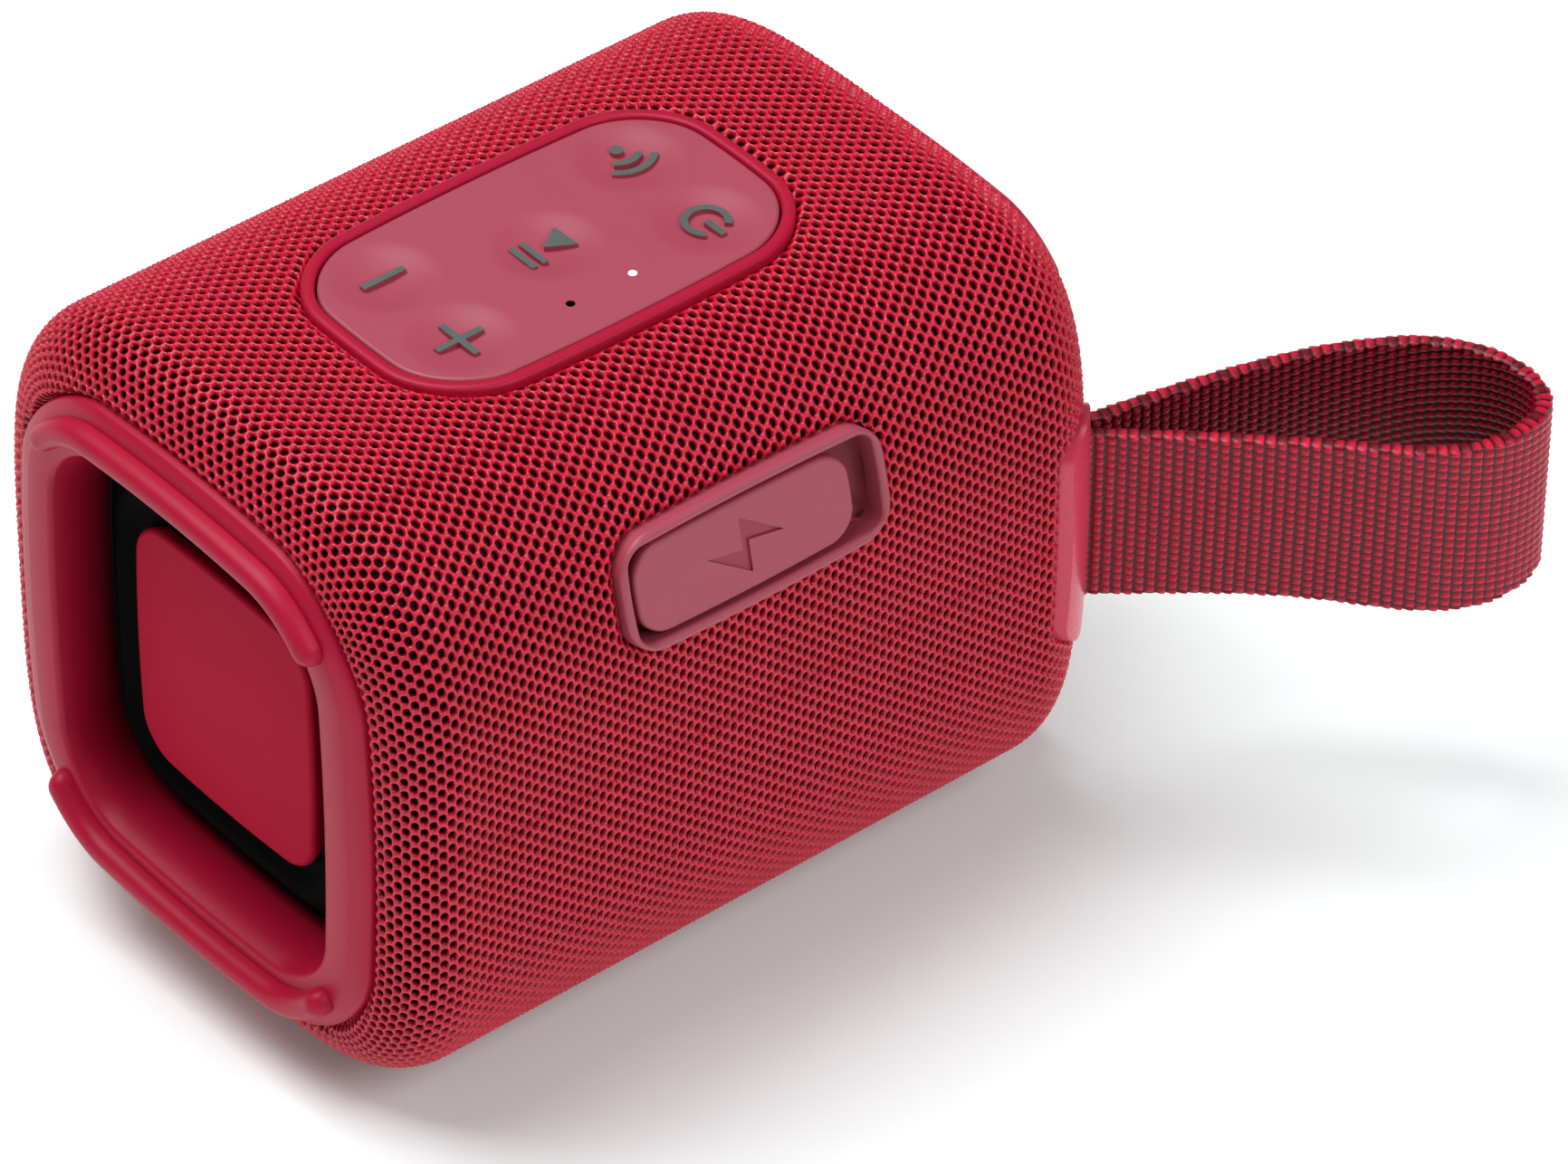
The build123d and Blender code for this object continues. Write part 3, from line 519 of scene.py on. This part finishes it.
def lay(along, around, height):
    """Point on the cloth. Near anything that comes through it, the cloth sinks into a groove, deeper by the
    square of how near it is."""
    flat = on_body(along, around, 0.0)
    near = np.clip(1 - to_hardware(flat) / groove_width, 0, 1)
    return on_body(along, around, height - groove_depth * near ** 2)


def knit_piece(name, low, high):
    """The cells whose middles lie between two distances round the body, as one mesh. A strand's crest is
    highest at its knots and shared by the cells on both sides; a hole's lip and wall are its cell's own."""
    chosen = (centre_around >= low) & (centre_around < high)
    a, s = centre_along[chosen, None], centre_around[chosen, None]
    ca, cs = a + crest_along, s + crest_around
    key = np.round(np.stack([ca, cs], -1).reshape(-1, 2) / (0.01 * mm)).astype(np.int64)
    _, first, shared = np.unique(key, axis=0, return_index=True, return_inverse=True)
    shared = shared.ravel()
    knots = np.broadcast_to(knot, ca.shape)
    crest = lay(ca.ravel()[first], cs.ravel()[first], (knot_rise * knots - strand_drop).ravel()[first])
    lip = lay(a + 1.04 * hole_along, s + 1.04 * hole_around, -lip_drop)
    wall = lay(a + 0.9 * hole_along, s + 0.9 * hole_around, -wall_drop)
    points = np.concatenate([crest, lip.reshape(-1, 3), wall.reshape(-1, 3)])
    cells = len(a)
    own = np.arange(cells * 12).reshape(cells, 12)
    rings = np.stack([shared.reshape(cells, 12), len(crest) + own, len(crest) + cells * 12 + own])
    after = np.roll(rings, -1, axis=2)
    quads = [np.stack([rings[k], after[k], after[k + 1], rings[k + 1]], -1).reshape(-1, 4) for k in (0, 1)]
    made = piece(name, points, quads, knit_finish, "housing")
    # Painted shade: the crest attribute is 1 on the strands' crests, 0.85 at a hole's lip and 0.1 on its
    # wall, and darkens the knit towards nearly black down in the holes.
    level = np.concatenate([np.full(len(crest), 1.0), np.full(cells * 12, 0.85), np.full(cells * 12, 0.1)])
    attribute = made.data.attributes.new("crest", "FLOAT", "POINT")
    attribute.data.foreach_set("value", level.astype(np.float32))
    return made


# %% [markdown]
# The thread is dyed dark red and slightly shiny. Shade is painted into its colour: it is brightest on the
# crest of a strand and painted nearly black down in a hole, where shade falls, so the finish reads how high
# each point of the knit lies, which the mesh carries as an attribute.

# %% Finish of the knit and of the lining under it
graph = Graph("knit")
painted_shade_level = graph.node("ShaderNodeAttribute", {"attribute_name": "crest"}, output="Fac")
thread = graph.noise(0.00035, 2.0)
patch = graph.noise(0.006, 2.0)
bright = graph.blend(thread * 0.6 + patch * 0.4, paint(180, 2, 36), paint(226, 20, 62))
knit_finish = graph.finish(
    # Painted shade: the crest attribute blends the thread's red down to nearly black in the holes.
    Base_Color=graph.blend(painted_shade_level, paint(20, 0, 4), bright),
    Roughness=0.26 + 0.14 * thread,
    Normal=graph.bump(thread, 0.00011),
    Specular_IOR_Level=0.5,
)
graph = Graph("lining")
weave = graph.noise(0.0006, 2.0)
lining_finish = graph.finish(
    Base_Color=graph.blend(weave, paint(36, 3, 9), paint(58, 6, 16)),
    Roughness=0.8,
    Normal=graph.bump(weave, 0.00005),
)
print("knit finish ready")

# %% Make the knit and the lining
part_count = 6
edges = np.linspace(0, girth, part_count + 1)
knit = [knit_piece(f"knit_{k + 1}", edges[k], edges[k + 1]) for k in range(part_count)]
turned_in = 5 * mm
lining_drop = 0.95 * mm
lining_tuck = 1.6 * mm
lining_along = np.linspace(-half_length - turned_in, half_length + turned_in, 90)
lining_around = np.linspace(0, girth, 300, endpoint=False)
lining_points = lay(lining_along[:, None], lining_around[None, :], -lining_drop).reshape(-1, 3)
lining_faces = grid_faces(len(lining_along), len(lining_around))
lining_middles = lining_points[lining_faces].mean(1)
lining_faces = lining_faces[to_hardware(lining_middles) > -lining_tuck]
lining = piece("cloth_lining", lining_points, [lining_faces[:, ::-1]], lining_finish, "housing")
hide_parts("fabric_sleeve")
print("knit pieces:", [len(item.data.polygons) for item in knit])

# %% [markdown]
# ## Flat faces with holes
#
# A flat face of any outline, with holes in it, is cut into triangles by Blender's own constrained
# Delaunay routine. The same routine makes raised marks: a flat outline, and its walls.

# %% Triangulate outlines and raise them
def triangles(outlines):
    """Points and triangles that fill everything inside the first outline and outside the others."""
    counts = [len(outline) for outline in outlines]
    starts = np.cumsum([0] + counts[:-1])
    spots = [Vector(spot) for outline in outlines for spot in outline]
    loops = [list(range(start, start + count)) for start, count in zip(starts, counts)]
    borders = [(loop[k - 1], loop[k]) for loop in loops for k in range(len(loop))]
    points, _, faces, _, _, sources = delaunay_2d_cdt(spots, borders, loops, 0, 1e-9)
    kept_faces = [face for face, source in zip(faces, sources) if list(source) == [0]]
    return np.array([tuple(p) for p in points]), np.array(kept_faces)


def circle(middle, radius, count=72):
    """Points round a circle, anticlockwise."""
    angle = np.arange(count) * 2 * np.pi / count
    return np.array(middle) + radius * np.column_stack([np.cos(angle), np.sin(angle)])


def raised(name, outlines, low, high, material, body, to_space):
    """Each outline becomes a block between two heights, with upright walls. Twice an outline's area, from its
    corners' cross products, says which way it runs, so that all of them can be made to run anticlockwise."""
    points, tris, quads, total = [], [], [], 0
    for outline in outlines:
        outline = np.asarray(outline, float)
        x, y = outline.T
        area = np.sum(x * np.roll(y, -1) - y * np.roll(x, -1))
        outline = outline if area > 0 else outline[::-1]
        count = len(outline)
        flat, faces = triangles([outline])
        for height in (low, high):
            points.append(np.column_stack([outline, np.full(count, height)]))
        k = np.arange(count)
        after = (k + 1) % count
        tris += [total + count + faces, total + faces[:, ::-1]]
        quads.append(total + np.stack([k, after, count + after, count + k], -1))
        total += 2 * count
    points = to_space(np.concatenate(points))
    made = piece(name, points, [np.concatenate(quads), np.concatenate(tris)], material, body)
    made.data.set_sharp_from_angle(angle=np.radians(40))


# %% [markdown]
# ## The control panel
#
# One silicone keypad sits in a thin frame. Its five keys are dishes pressed into the flat top, and a dish
# sinks when its key is pressed, so each is its own round patch. The sign on a key stands up out of the
# dish, red at its sides and metallic on top.

# %% Panel frame and keypad
def to_top(points):
    """From a flat drawing of the panel, with heights from the body's middle, to space."""
    return points + np.array([0, 0, mid_z])


keypad_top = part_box("keypad")[1].z - mid_z
frame_sizes = [
    (28.0, 34.6), (28.0, 39.95), (27.85, 40.25), (27.5, 40.4),
    (26.9, 40.4), (26.6, 40.3), (26.45, 40.1), (26.45, 36.6),
]
panel_frame_rows = skin([
    (a * mm, (a - 11.2) * mm, (a - 17.0) * mm, 0.9 * mm, z * mm) for a, z in frame_sizes
])
panel_frame = piece(
    "panel_frame", to_top(panel_frame_rows).reshape(-1, 3),
    [grid_faces(len(frame_sizes), outline_count, close_rows=True)],
    finishes["red_plastic"], "housing",
)
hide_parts("control_frame")
key_places = {
    "button_volume_down": (-17.5, 7.0),
    "button_volume_up": (-17.5, -6.7),
    "button_play": (0.0, 0.3),
    "button_wireless": (17.0, 7.2),
    "button_power": (16.5, -7.0),
}
light_and_microphone = ((4.1, -9.4), (-4.6, -9.4))
dish_radius = 6.7 * mm
dish_depth = 0.8 * mm
edge_drop = 0.4 * mm
edge_in, edge_up = rounded_step(0.0, edge_drop, -edge_drop, edge_drop)
keypad_sizes = np.array([26.2, 15.0, 9.2, 0.9]) * mm
keypad_rows = skin(
    [(*keypad_sizes, 36.6 * mm)]
    + [
        (*(keypad_sizes - (inset, inset, inset, 0)), keypad_top + up)
        for inset, up in zip(edge_in, edge_up)
    ]
)
openings = [circle(np.array(spot) * mm, dish_radius) for spot in key_places.values()]
openings += [circle(np.array(spot) * mm, 0.55 * mm, 20) for spot in light_and_microphone]
top_points, top_faces = triangles([keypad_rows[-1, :, :2]] + openings)
keypad_points = np.concatenate([
    keypad_rows.reshape(-1, 3), np.column_stack([top_points, np.full(len(top_points), keypad_top)]),
])
keypad_faces = grid_faces(len(keypad_rows), outline_count)
keypad = piece(
    "keypad_skin", to_top(keypad_points), [keypad_faces, len(keypad_rows) * outline_count + top_faces],
    finishes["red_silicone"], "housing",
)
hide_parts("keypad")
print("keypad faces:", len(keypad.data.polygons))

# %% The dishes
dish_rings, dish_spokes = 25, 72
dish_share = np.linspace(1, 0, dish_rings)[:, None]
dish_angle = (np.arange(dish_spokes) * 2 * np.pi / dish_spokes)[None, :]
for name, (x, y) in key_places.items():
    drop = dish_depth * (1 - dish_share ** 2.5) ** 2 + 0 * dish_angle
    dish_points = np.stack([
        x * mm + dish_radius * dish_share * np.cos(dish_angle),
        y * mm + dish_radius * dish_share * np.sin(dish_angle),
        keypad_top - drop,
    ], -1)
    dish = piece(
        name.replace("button", "dish"), to_top(dish_points.reshape(-1, 3)),
        [grid_faces(dish_rings, dish_spokes)],
        finishes["red_silicone"], None,
    )
    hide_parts(name)
    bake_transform(dish)
print("dishes:", len(key_places))


# %% The signs on the keys
def bar(middle, width, height):
    """Rectangle about its middle."""
    return np.array(middle) + np.array([(-1, -1), (1, -1), (1, 1), (-1, 1)]) * (width / 2, height / 2)


def arc_stroke(middle, radius, width, start, stop, count=28):
    """A stretch of a ring between two angles in degrees."""
    angle = np.radians(np.linspace(start, stop, count))
    way = np.column_stack([np.cos(angle), np.sin(angle)])
    outer, inner = radius + width / 2, radius - width / 2
    return np.array(middle) + np.concatenate([outer * way, inner * way[::-1]])


stroke = 0.85
arm = 3.15
half = stroke / 2
plus = np.array([
    (half, half), (half, arm), (-half, arm), (-half, half), (-arm, half), (-arm, -half),
    (-half, -half), (-half, -arm), (half, -arm), (half, -half), (arm, -half), (arm, half),
])
signs = {
    "button_volume_down": [bar((-17.4, 7.3), 5.8, stroke)],
    "button_volume_up": [plus + (-17.7, -6.5)],
    "button_play": [
        np.array([(2.8, 2.7), (-0.4, 0.5), (2.9, -1.5)]),
        bar((-1.9, 0.4), 0.75, 4.3),
        bar((-3.4, 0.4), 0.75, 4.3),
    ],
    "button_wireless": [
        circle((17.0, 9.3), 0.8, 24), arc_stroke((17.0, 9.3), 2.5, stroke, 225, 315),
        arc_stroke((17.0, 9.3), 4.3, stroke, 225, 315),
    ],
    "button_power": [arc_stroke((16.5, -7.0), 2.45, stroke, -50, 230, 48), bar((16.5, -8.6), stroke, 3.0)],
}
sign_metal = moulded("sign_metal", paint(118, 130, 126), paint(138, 150, 146), 0.34, metallic=0.75)
for name, outlines in signs.items():
    outlines = [outline * mm for outline in outlines]
    raised(
        name.replace("button", "sign"), outlines, keypad_top - dish_depth - 0.2 * mm, keypad_top - 0.2 * mm,
        finishes["red_silicone"], name, to_top,
    )
    raised(
        name.replace("button", "sign_face"), outlines, keypad_top - 0.21 * mm, keypad_top - 0.14 * mm,
        sign_metal, name, to_top,
    )
print("signs:", len(signs))

# %% [markdown]
# ## The charging cover
#
# A rim with a rounded top frames a soft flap. The flap lies flush, carries a sunk bolt sign and a plug
# for the socket under it, and stops short at its right end, where a finger can get under it. Its left end
# is short and round enough to turn inside the rim. All are drawn flat and tilted with the side of the
# body.

# %% Rim and tray of the cover
def to_cover(points):
    """From a flat drawing of the cover, in metres about its middle, to space."""
    return cover_middle + points @ np.array([cover_first, cover_second, cover_out])


rim_angle = np.linspace(0, np.pi, 13)
rim_half = 0.62
rim_stations = [(18.5, -3.5)] + [
    (18.5 - rim_half * (1 - np.cos(turn)), 0.0 + 0.6 * np.sin(turn)) for turn in rim_angle
] + [(17.2, -2.0), (17.0, -4.1)]
rim_rows = skin(
    [
        np.array([a, a - 11.1, np.interp(a, [17.26, 18.5], [1.8, 4.4]), 0.35, w]) * mm
        for a, w in rim_stations
    ]
    + [np.array([4.4, 1.6, 1.55, 0.0, -4.1]) * mm]
)
port_shift = -1.5 * mm
rim_rows[-1, :, 0] += port_shift
rim_points = rim_rows.reshape(-1, 3)
cover_rim = piece(
    "cover_rim", to_cover(rim_points), [grid_faces(len(rim_rows), outline_count)],
    finishes["red_silicone"], "housing",
)
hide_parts("charging_bezel")
print("cover rim faces:", len(cover_rim.data.polygons))

# %% The flap and its sign
flap_low, flap_high = -16.6, 13.6
flap_middle = (flap_low + flap_high) / 2
flap_half = (flap_high - flap_low) / 2
flap_in, flap_up = rounded_step(0.0, 0.45, -0.45, 0.45)
flap_top = 0.1


def flap_row(inset, height):
    """One outline of the flap, drawn in by an inset, at a height."""
    outline = bowed_outline((flap_half - inset) * mm, (5.6 - inset) * mm, (3.6 - inset) * mm, 0.3 * mm)
    return np.column_stack([outline + np.array([flap_middle * mm, 0]), np.full(outline_count, height * mm)])


flap_rows = [flap_row(0.4, -1.9), flap_row(0.0, -1.5)]
flap_rows += [flap_row(inset, flap_top + up) for inset, up in zip(flap_in, flap_up)]
half_bolt = np.array([(0.4, -3.5), (0.5, 0.4), (5.3, -0.4)])
bolt_middle = (-1.4, -0.1)
bolt_sunk = 0.3
bolt = (np.concatenate([half_bolt, -half_bolt]) + bolt_middle) * mm
flat, flat_faces = triangles([flap_rows[-1][:, :2], bolt])
count = len(flap_rows) * outline_count
flap_points = np.concatenate(
    flap_rows + [np.column_stack([flat, np.full(len(flat), flap_top * mm)])]
    + [
        np.column_stack([bolt, np.full(len(bolt), height * mm)])
        for height in (flap_top, flap_top - bolt_sunk)
    ]
)
first = count + len(flat)
k = np.arange(len(bolt))
after = (k + 1) % len(bolt)
bolt_walls = np.stack([first + k, first + after, first + len(bolt) + after, first + len(bolt) + k], -1)
under = np.arange(outline_count)[::-1][None, :]
flap = piece(
    "flap_skin", to_cover(flap_points),
    [grid_faces(len(flap_rows), outline_count), bolt_walls, count + flat_faces, under],
    finishes["red_silicone"], "flap",
)
flap.data.set_sharp_from_angle(angle=np.radians(50))
bolt_gloss = moulded("bolt_gloss", paint(146, 28, 50), paint(152, 32, 55), 0.35)
raised(
    "bolt_sign", [bolt], (flap_top - bolt_sunk - 0.2) * mm, (flap_top - bolt_sunk) * mm, bolt_gloss,
    "flap", to_cover,
)
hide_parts("charging_flap")
plug = bowed_outline(3.6 * mm, 0.9 * mm, 0.85 * mm) + np.array([port_shift, 0])
raised(
    "flap_plug", [plug], -3.4 * mm, -1.85 * mm, finishes["red_silicone"], "flap", to_cover,
)
print("flap faces:", len(flap.data.polygons))

# %% [markdown]
# ## The end rings
#
# Each end has a soft ring with a wide opening. Its section is carried round as a skin: up the outside,
# over a sloping bevel, across the flat face, round the inner edge and down a funnel to the membrane. Both
# ends are the same drawing with the direction of the speaker's length reversed.

# %% Ring, bumpers and membrane at both ends
def to_end(points, side):
    """From a drawing seen along the length, as across, up and reach, to space at one end."""
    across, up, reach_out = points[..., 0], points[..., 1], points[..., 2]
    return np.stack([side * reach_out, -side * across, mid_z + up], -1).reshape(-1, 3)


ring_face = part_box("end_ring_right")[1].x
face = ring_face / mm
outside = [(*ring_outline, 44.0), (*ring_outline, 50.1)]
bevel = [(31.1 - i, 33.7 - i, 14.8 - 0.8 * i, 2.4 - 0.2 * i, face - 0.9 + 0.35 * i) for i in (0.0, 1.2, 2.2)]
ring_rows = outside + bevel + [
    (28.5, 31.1, 12.7, 1.9, face), (25.2, 27.5, 10.3, 1.2, face), (24.7, 27.0, 9.8, 1.1, face - 0.15),
    (24.45, 26.75, 9.5, 1.1, face - 0.6), (23.9, 25.0, 9.0, 1.1, 43.5), (27.0, 29.0, 10.0, 1.1, 43.5),
]
ring_skin = skin(np.array(ring_rows) * mm)
membrane_rows = skin(np.array([
    (23.8, 24.9, 8.9, 1.1, 43.45), (22.4, 23.4, 8.0, 1.0, 43.5), (21.6, 22.6, 7.6, 0.9, 44.6),
    (20.6, 21.6, 7.2, 0.9, 45.5), (19.6, 20.6, 6.8, 0.8, 45.8), (18.6, 19.6, 6.4, 0.8, 45.5),
    (17.6, 18.6, 6.0, 0.7, 44.7), (16.8, 17.8, 5.6, 0.7, 44.4),
    (13.6, 14.6, 4.5, 0.6, 44.42), (13.6, 14.6, 4.5, 0.6, 43.6),
]) * mm)
plate_in, plate_up = rounded_step(0.0, 0.7, -0.7, 0.7, 7)
plate_rows = skin(
    [np.array((15.6, 16.6, 4.6, 0.7, 44.5)) * mm]
    + [np.array((16.0 - i, 17.0 - i, 5.0 - i, 0.7, 46.3 + u)) * mm for i, u in zip(plate_in, plate_up)]
)


strip_half = 1.65 * mm
strip_rise = 2.3 * mm
strip_tip = 2 * mm
strip_round = 28


def bumper(up):
    """A strip with a half-round section is carried along the middle of the ring's face, over its top or its
    bottom, and its section shrinks to nothing along a quarter circle at each end."""
    line = bowed_outline(27.9 * mm, 30.3 * mm, 12.0 * mm, 1.8 * mm)
    line = np.roll(line, -int(np.argmin(np.abs(line[:, 0]) + 1000 * (line[:, 1] > 0))), axis=0)
    steps = np.concatenate([[0], np.cumsum(np.linalg.norm(np.diff(line, axis=0), axis=1))])
    ends = [steps[np.where(line[:, 1] > 23.5 * mm)[0][k]] for k in (0, -1)]
    t = np.concatenate([
        ends[0] + strip_tip * (1 - np.cos(np.linspace(0, np.pi / 2, 9)[:-1])),
        np.linspace(ends[0] + strip_tip, ends[1] - strip_tip, 120),
        ends[1] - strip_tip * (1 - np.cos(np.linspace(np.pi / 2, 0, 9)[1:])),
    ])
    middle = np.column_stack([np.interp(t, steps, line[:, 0]), np.interp(t, steps, line[:, 1])])
    way = np.gradient(middle, axis=0)
    way[:8], way[-8:] = way[8], way[-9]
    way /= np.linalg.norm(way, axis=1, keepdims=True)
    out = np.column_stack([way[:, 1], -way[:, 0]])
    from_tip = np.clip(np.minimum(t - ends[0], ends[1] - t) / strip_tip, 0, 1)
    size = np.sqrt(np.clip(1 - (1 - from_tip) ** 2, 0.0004, 1))[:, None]
    angle = (np.arange(strip_round) * 2 * np.pi / strip_round)[None, :]
    rise = np.maximum(np.sign(np.sin(angle)) * np.abs(np.sin(angle)) ** 0.75, -0.12)
    across = middle[:, 0:1] + out[:, 0:1] * strip_half * np.cos(angle) * size
    height = middle[:, 1:2] + out[:, 1:2] * strip_half * np.cos(angle) * size
    stand = ring_face + strip_rise * rise * size
    return np.stack([across, up * height, stand], -1)


red_plastic = finishes["red_plastic"]
for side, end in ((-1, "left"), (1, "right")):
    closing = grid_faces(len(ring_rows), outline_count, close_rows=True)
    ring = piece(f"ring_{end}", to_end(ring_skin, side), [closing], red_plastic, "housing")
    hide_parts(f"end_ring_{end}", f"ring_screws_{end}")
    for up, level in ((1, "top"), (-1, "bottom")):
        strip = bumper(up)
        faces = grid_faces(len(strip), strip_round)[:, ::up]
        made = piece(
            f"bumper_skin_{level}_{end}", to_end(strip, side), [faces], red_plastic, "housing",
        )
        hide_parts(f"bumper_{level}_{end}")
    membrane = piece(
        f"membrane_{end}", to_end(membrane_rows, side), [grid_faces(len(membrane_rows), outline_count)],
        finishes["black_rubber"], None,
    )
    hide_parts(f"radiator_surround_{end}")
    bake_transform(membrane)
    back = np.arange(outline_count)[None, :]
    front = back + (len(plate_rows) - 1) * outline_count
    plate = piece(
        f"plate_{end}", to_end(plate_rows, side),
        [grid_faces(len(plate_rows), outline_count), front, back[:, ::-1]],
        finishes["radiator_skin"], f"radiator_{end}",
    )
    plate.data.set_sharp_from_angle(angle=np.radians(50))
    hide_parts(f"radiator_plate_{end}")
print("ring rows:", len(ring_rows))

# %% [markdown]
# ## The strap
#
# The strap is a length of heavy webbing, folded into a loop and held in the anchor at the upright corner.
# Seen from above it is a drop shape. A smooth curve runs through a few points of that shape, and the
# webbing's section is carried along it. Ribs run across it, and each rib is a row of small beads.

# %% The loop's path
loop_spots = np.array([
    (8.8, -0.3), (20.0, -1.4), (34.0, -3.4), (45.0, -5.4), (50.2, -5.6), (54.5, -4.6), (58.2, -2.2),
    (60.8, 1.2), (61.2, 4.6), (59.6, 8.4), (56.2, 11.8), (51.4, 13.9), (46.4, 14.5), (38.0, 13.4),
    (30.0, 11.0), (22.0, 7.9), (14.8, 4.7), (11.0, 2.9), (8.8, 2.3),
]) * mm


def smooth_path(spots, step):
    """A Catmull-Rom curve through the spots, sampled at even distances along its length."""
    padded = np.concatenate([[2 * spots[0] - spots[1]], spots, [2 * spots[-1] - spots[-2]]])
    t = np.linspace(0, len(spots) - 1, 2400)
    k = np.minimum(t.astype(int), len(spots) - 2)
    f = (t - k)[:, None]
    p0, p1, p2, p3 = (padded[k + shift] for shift in range(4))
    curve = 0.5 * (
        2 * p1 + (p2 - p0) * f
        + (2 * p0 - 5 * p1 + 4 * p2 - p3) * f ** 2
        + (3 * p1 - p0 - 3 * p2 + p3) * f ** 3
    )
    run = np.concatenate([[0], np.cumsum(np.linalg.norm(np.diff(curve, axis=0), axis=1))])
    even = np.arange(0, run[-1], step)
    spots = np.column_stack([np.interp(even, run, curve[:, 0]), np.interp(even, run, curve[:, 1])])
    return spots, run[-1]


rib_pitch = 1.28 * mm
rib_steps = 5
web_half = 11.3 * mm
beads_across = 21
bead_pitch = 2 * web_half / beads_across
path, strap_length = smooth_path(loop_spots, rib_pitch / rib_steps)
print("strap's visible length:", round(strap_length / mm, 1), "mm")

# %% Carry the webbing's section along the path
web_thick = 0.72 * mm
edge_bulge = 0.3 * mm
relief_height = 0.44 * mm
side_count = 4 * beads_across + 1
across_top = np.linspace(-web_half, web_half, side_count)
edge_angle = np.linspace(-np.pi / 2, np.pi / 2, 7)[1:-1]
edge_out = np.cos(edge_angle) * edge_bulge
section_up = np.concatenate([across_top, web_half + edge_out, across_top[::-1], -web_half - edge_out])
section_face = np.concatenate([
    np.full(side_count, -1.0), np.sin(edge_angle), np.full(side_count, 1.0), -np.sin(edge_angle),
])
way = np.gradient(path, axis=0)
way /= np.linalg.norm(way, axis=1, keepdims=True)
outward = np.column_stack([way[:, 1], -way[:, 0]])
along_path = np.arange(len(path)) * rib_pitch / rib_steps
rib_phase = (along_path / rib_pitch % 1.0)[:, None]
rib = np.interp(rib_phase, [0, 0.2, 0.4, 0.6, 0.8, 1], [0, 0.4, 0.8, 0.9, 1, 0])
row_number = np.floor(along_path / rib_pitch)[:, None]
bead_shift = 0.5 * (row_number % 4)
bead = np.abs(np.sin(np.pi * (section_up / bead_pitch)[None, :] + np.pi / 2 * bead_shift)) ** 0.6
flat_part = (np.abs(section_face) == 1.0)[None, :]
relief = relief_height * rib * (0.1 + 0.9 * bead) * np.where(flat_part, 1.0, 0.5)
stand = section_face[None, :] * (-web_thick) - np.sign(section_face)[None, :] * relief
lean_middle, lean_spread, lean_size = 22 * mm, 14 * mm, 1.2 * mm
lean = np.exp(-(((along_path - lean_middle) / lean_spread) ** 2))[:, None]
lean = lean * np.clip(-section_up / web_half, 0, 1)[None, :] * lean_size
u = path[:, :1] + outward[:, :1] * stand
v = path[:, 1:] + outward[:, 1:] * stand + lean
strap_points = (
    strap_root + u[..., None] * strap_along + v[..., None] * strap_across
    + np.broadcast_to(section_up[None, :, None], u.shape + (1,)) * np.array([0, 0, 1.0])
)
# Painted shade: the crest attribute darkens the webbing in the grooves between ribs and between beads, and
# the inner side of the loop is painted darker still.
inner_shade = np.where(section_face > 0, 0.6, 1.0)[None, :]
level = np.broadcast_to(inner_shade * rib * (0.15 + 0.85 * bead), u.shape).ravel()
print("webbing grid:", u.shape)

# %% Webbing finish and the strap itself
graph = Graph("webbing")
painted_shade_level = graph.node("ShaderNodeAttribute", {"attribute_name": "crest"}, output="Fac")
thread = graph.noise(0.0002, 2.0, (1.0, 1.0, 0.35))
webbing_finish = graph.finish(
    # Painted shade: the crest attribute blends the webbing's red down to nearly black in its grooves and on
    # the loop's inner side.
    Base_Color=graph.blend(
        painted_shade_level, paint(20, 0, 4), graph.blend(thread, paint(190, 6, 44), paint(232, 26, 68)),
    ),
    Roughness=0.26 + 0.14 * thread,
    Normal=graph.bump(thread, 0.00005),
    Specular_IOR_Level=0.35,
)
caps = np.arange(len(section_up))[None, :]
strap = piece(
    "webbing_strap", strap_points.reshape(-1, 3),
    [grid_faces(len(path), len(section_up)), (len(path) - 1) * len(section_up) + caps, caps[:, ::-1]],
    webbing_finish, None,
)
attribute = strap.data.attributes.new("crest", "FLOAT", "POINT")
attribute.data.foreach_set("value", level.astype(np.float32))
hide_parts("strap_loop", "strap_tail")
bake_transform(strap)
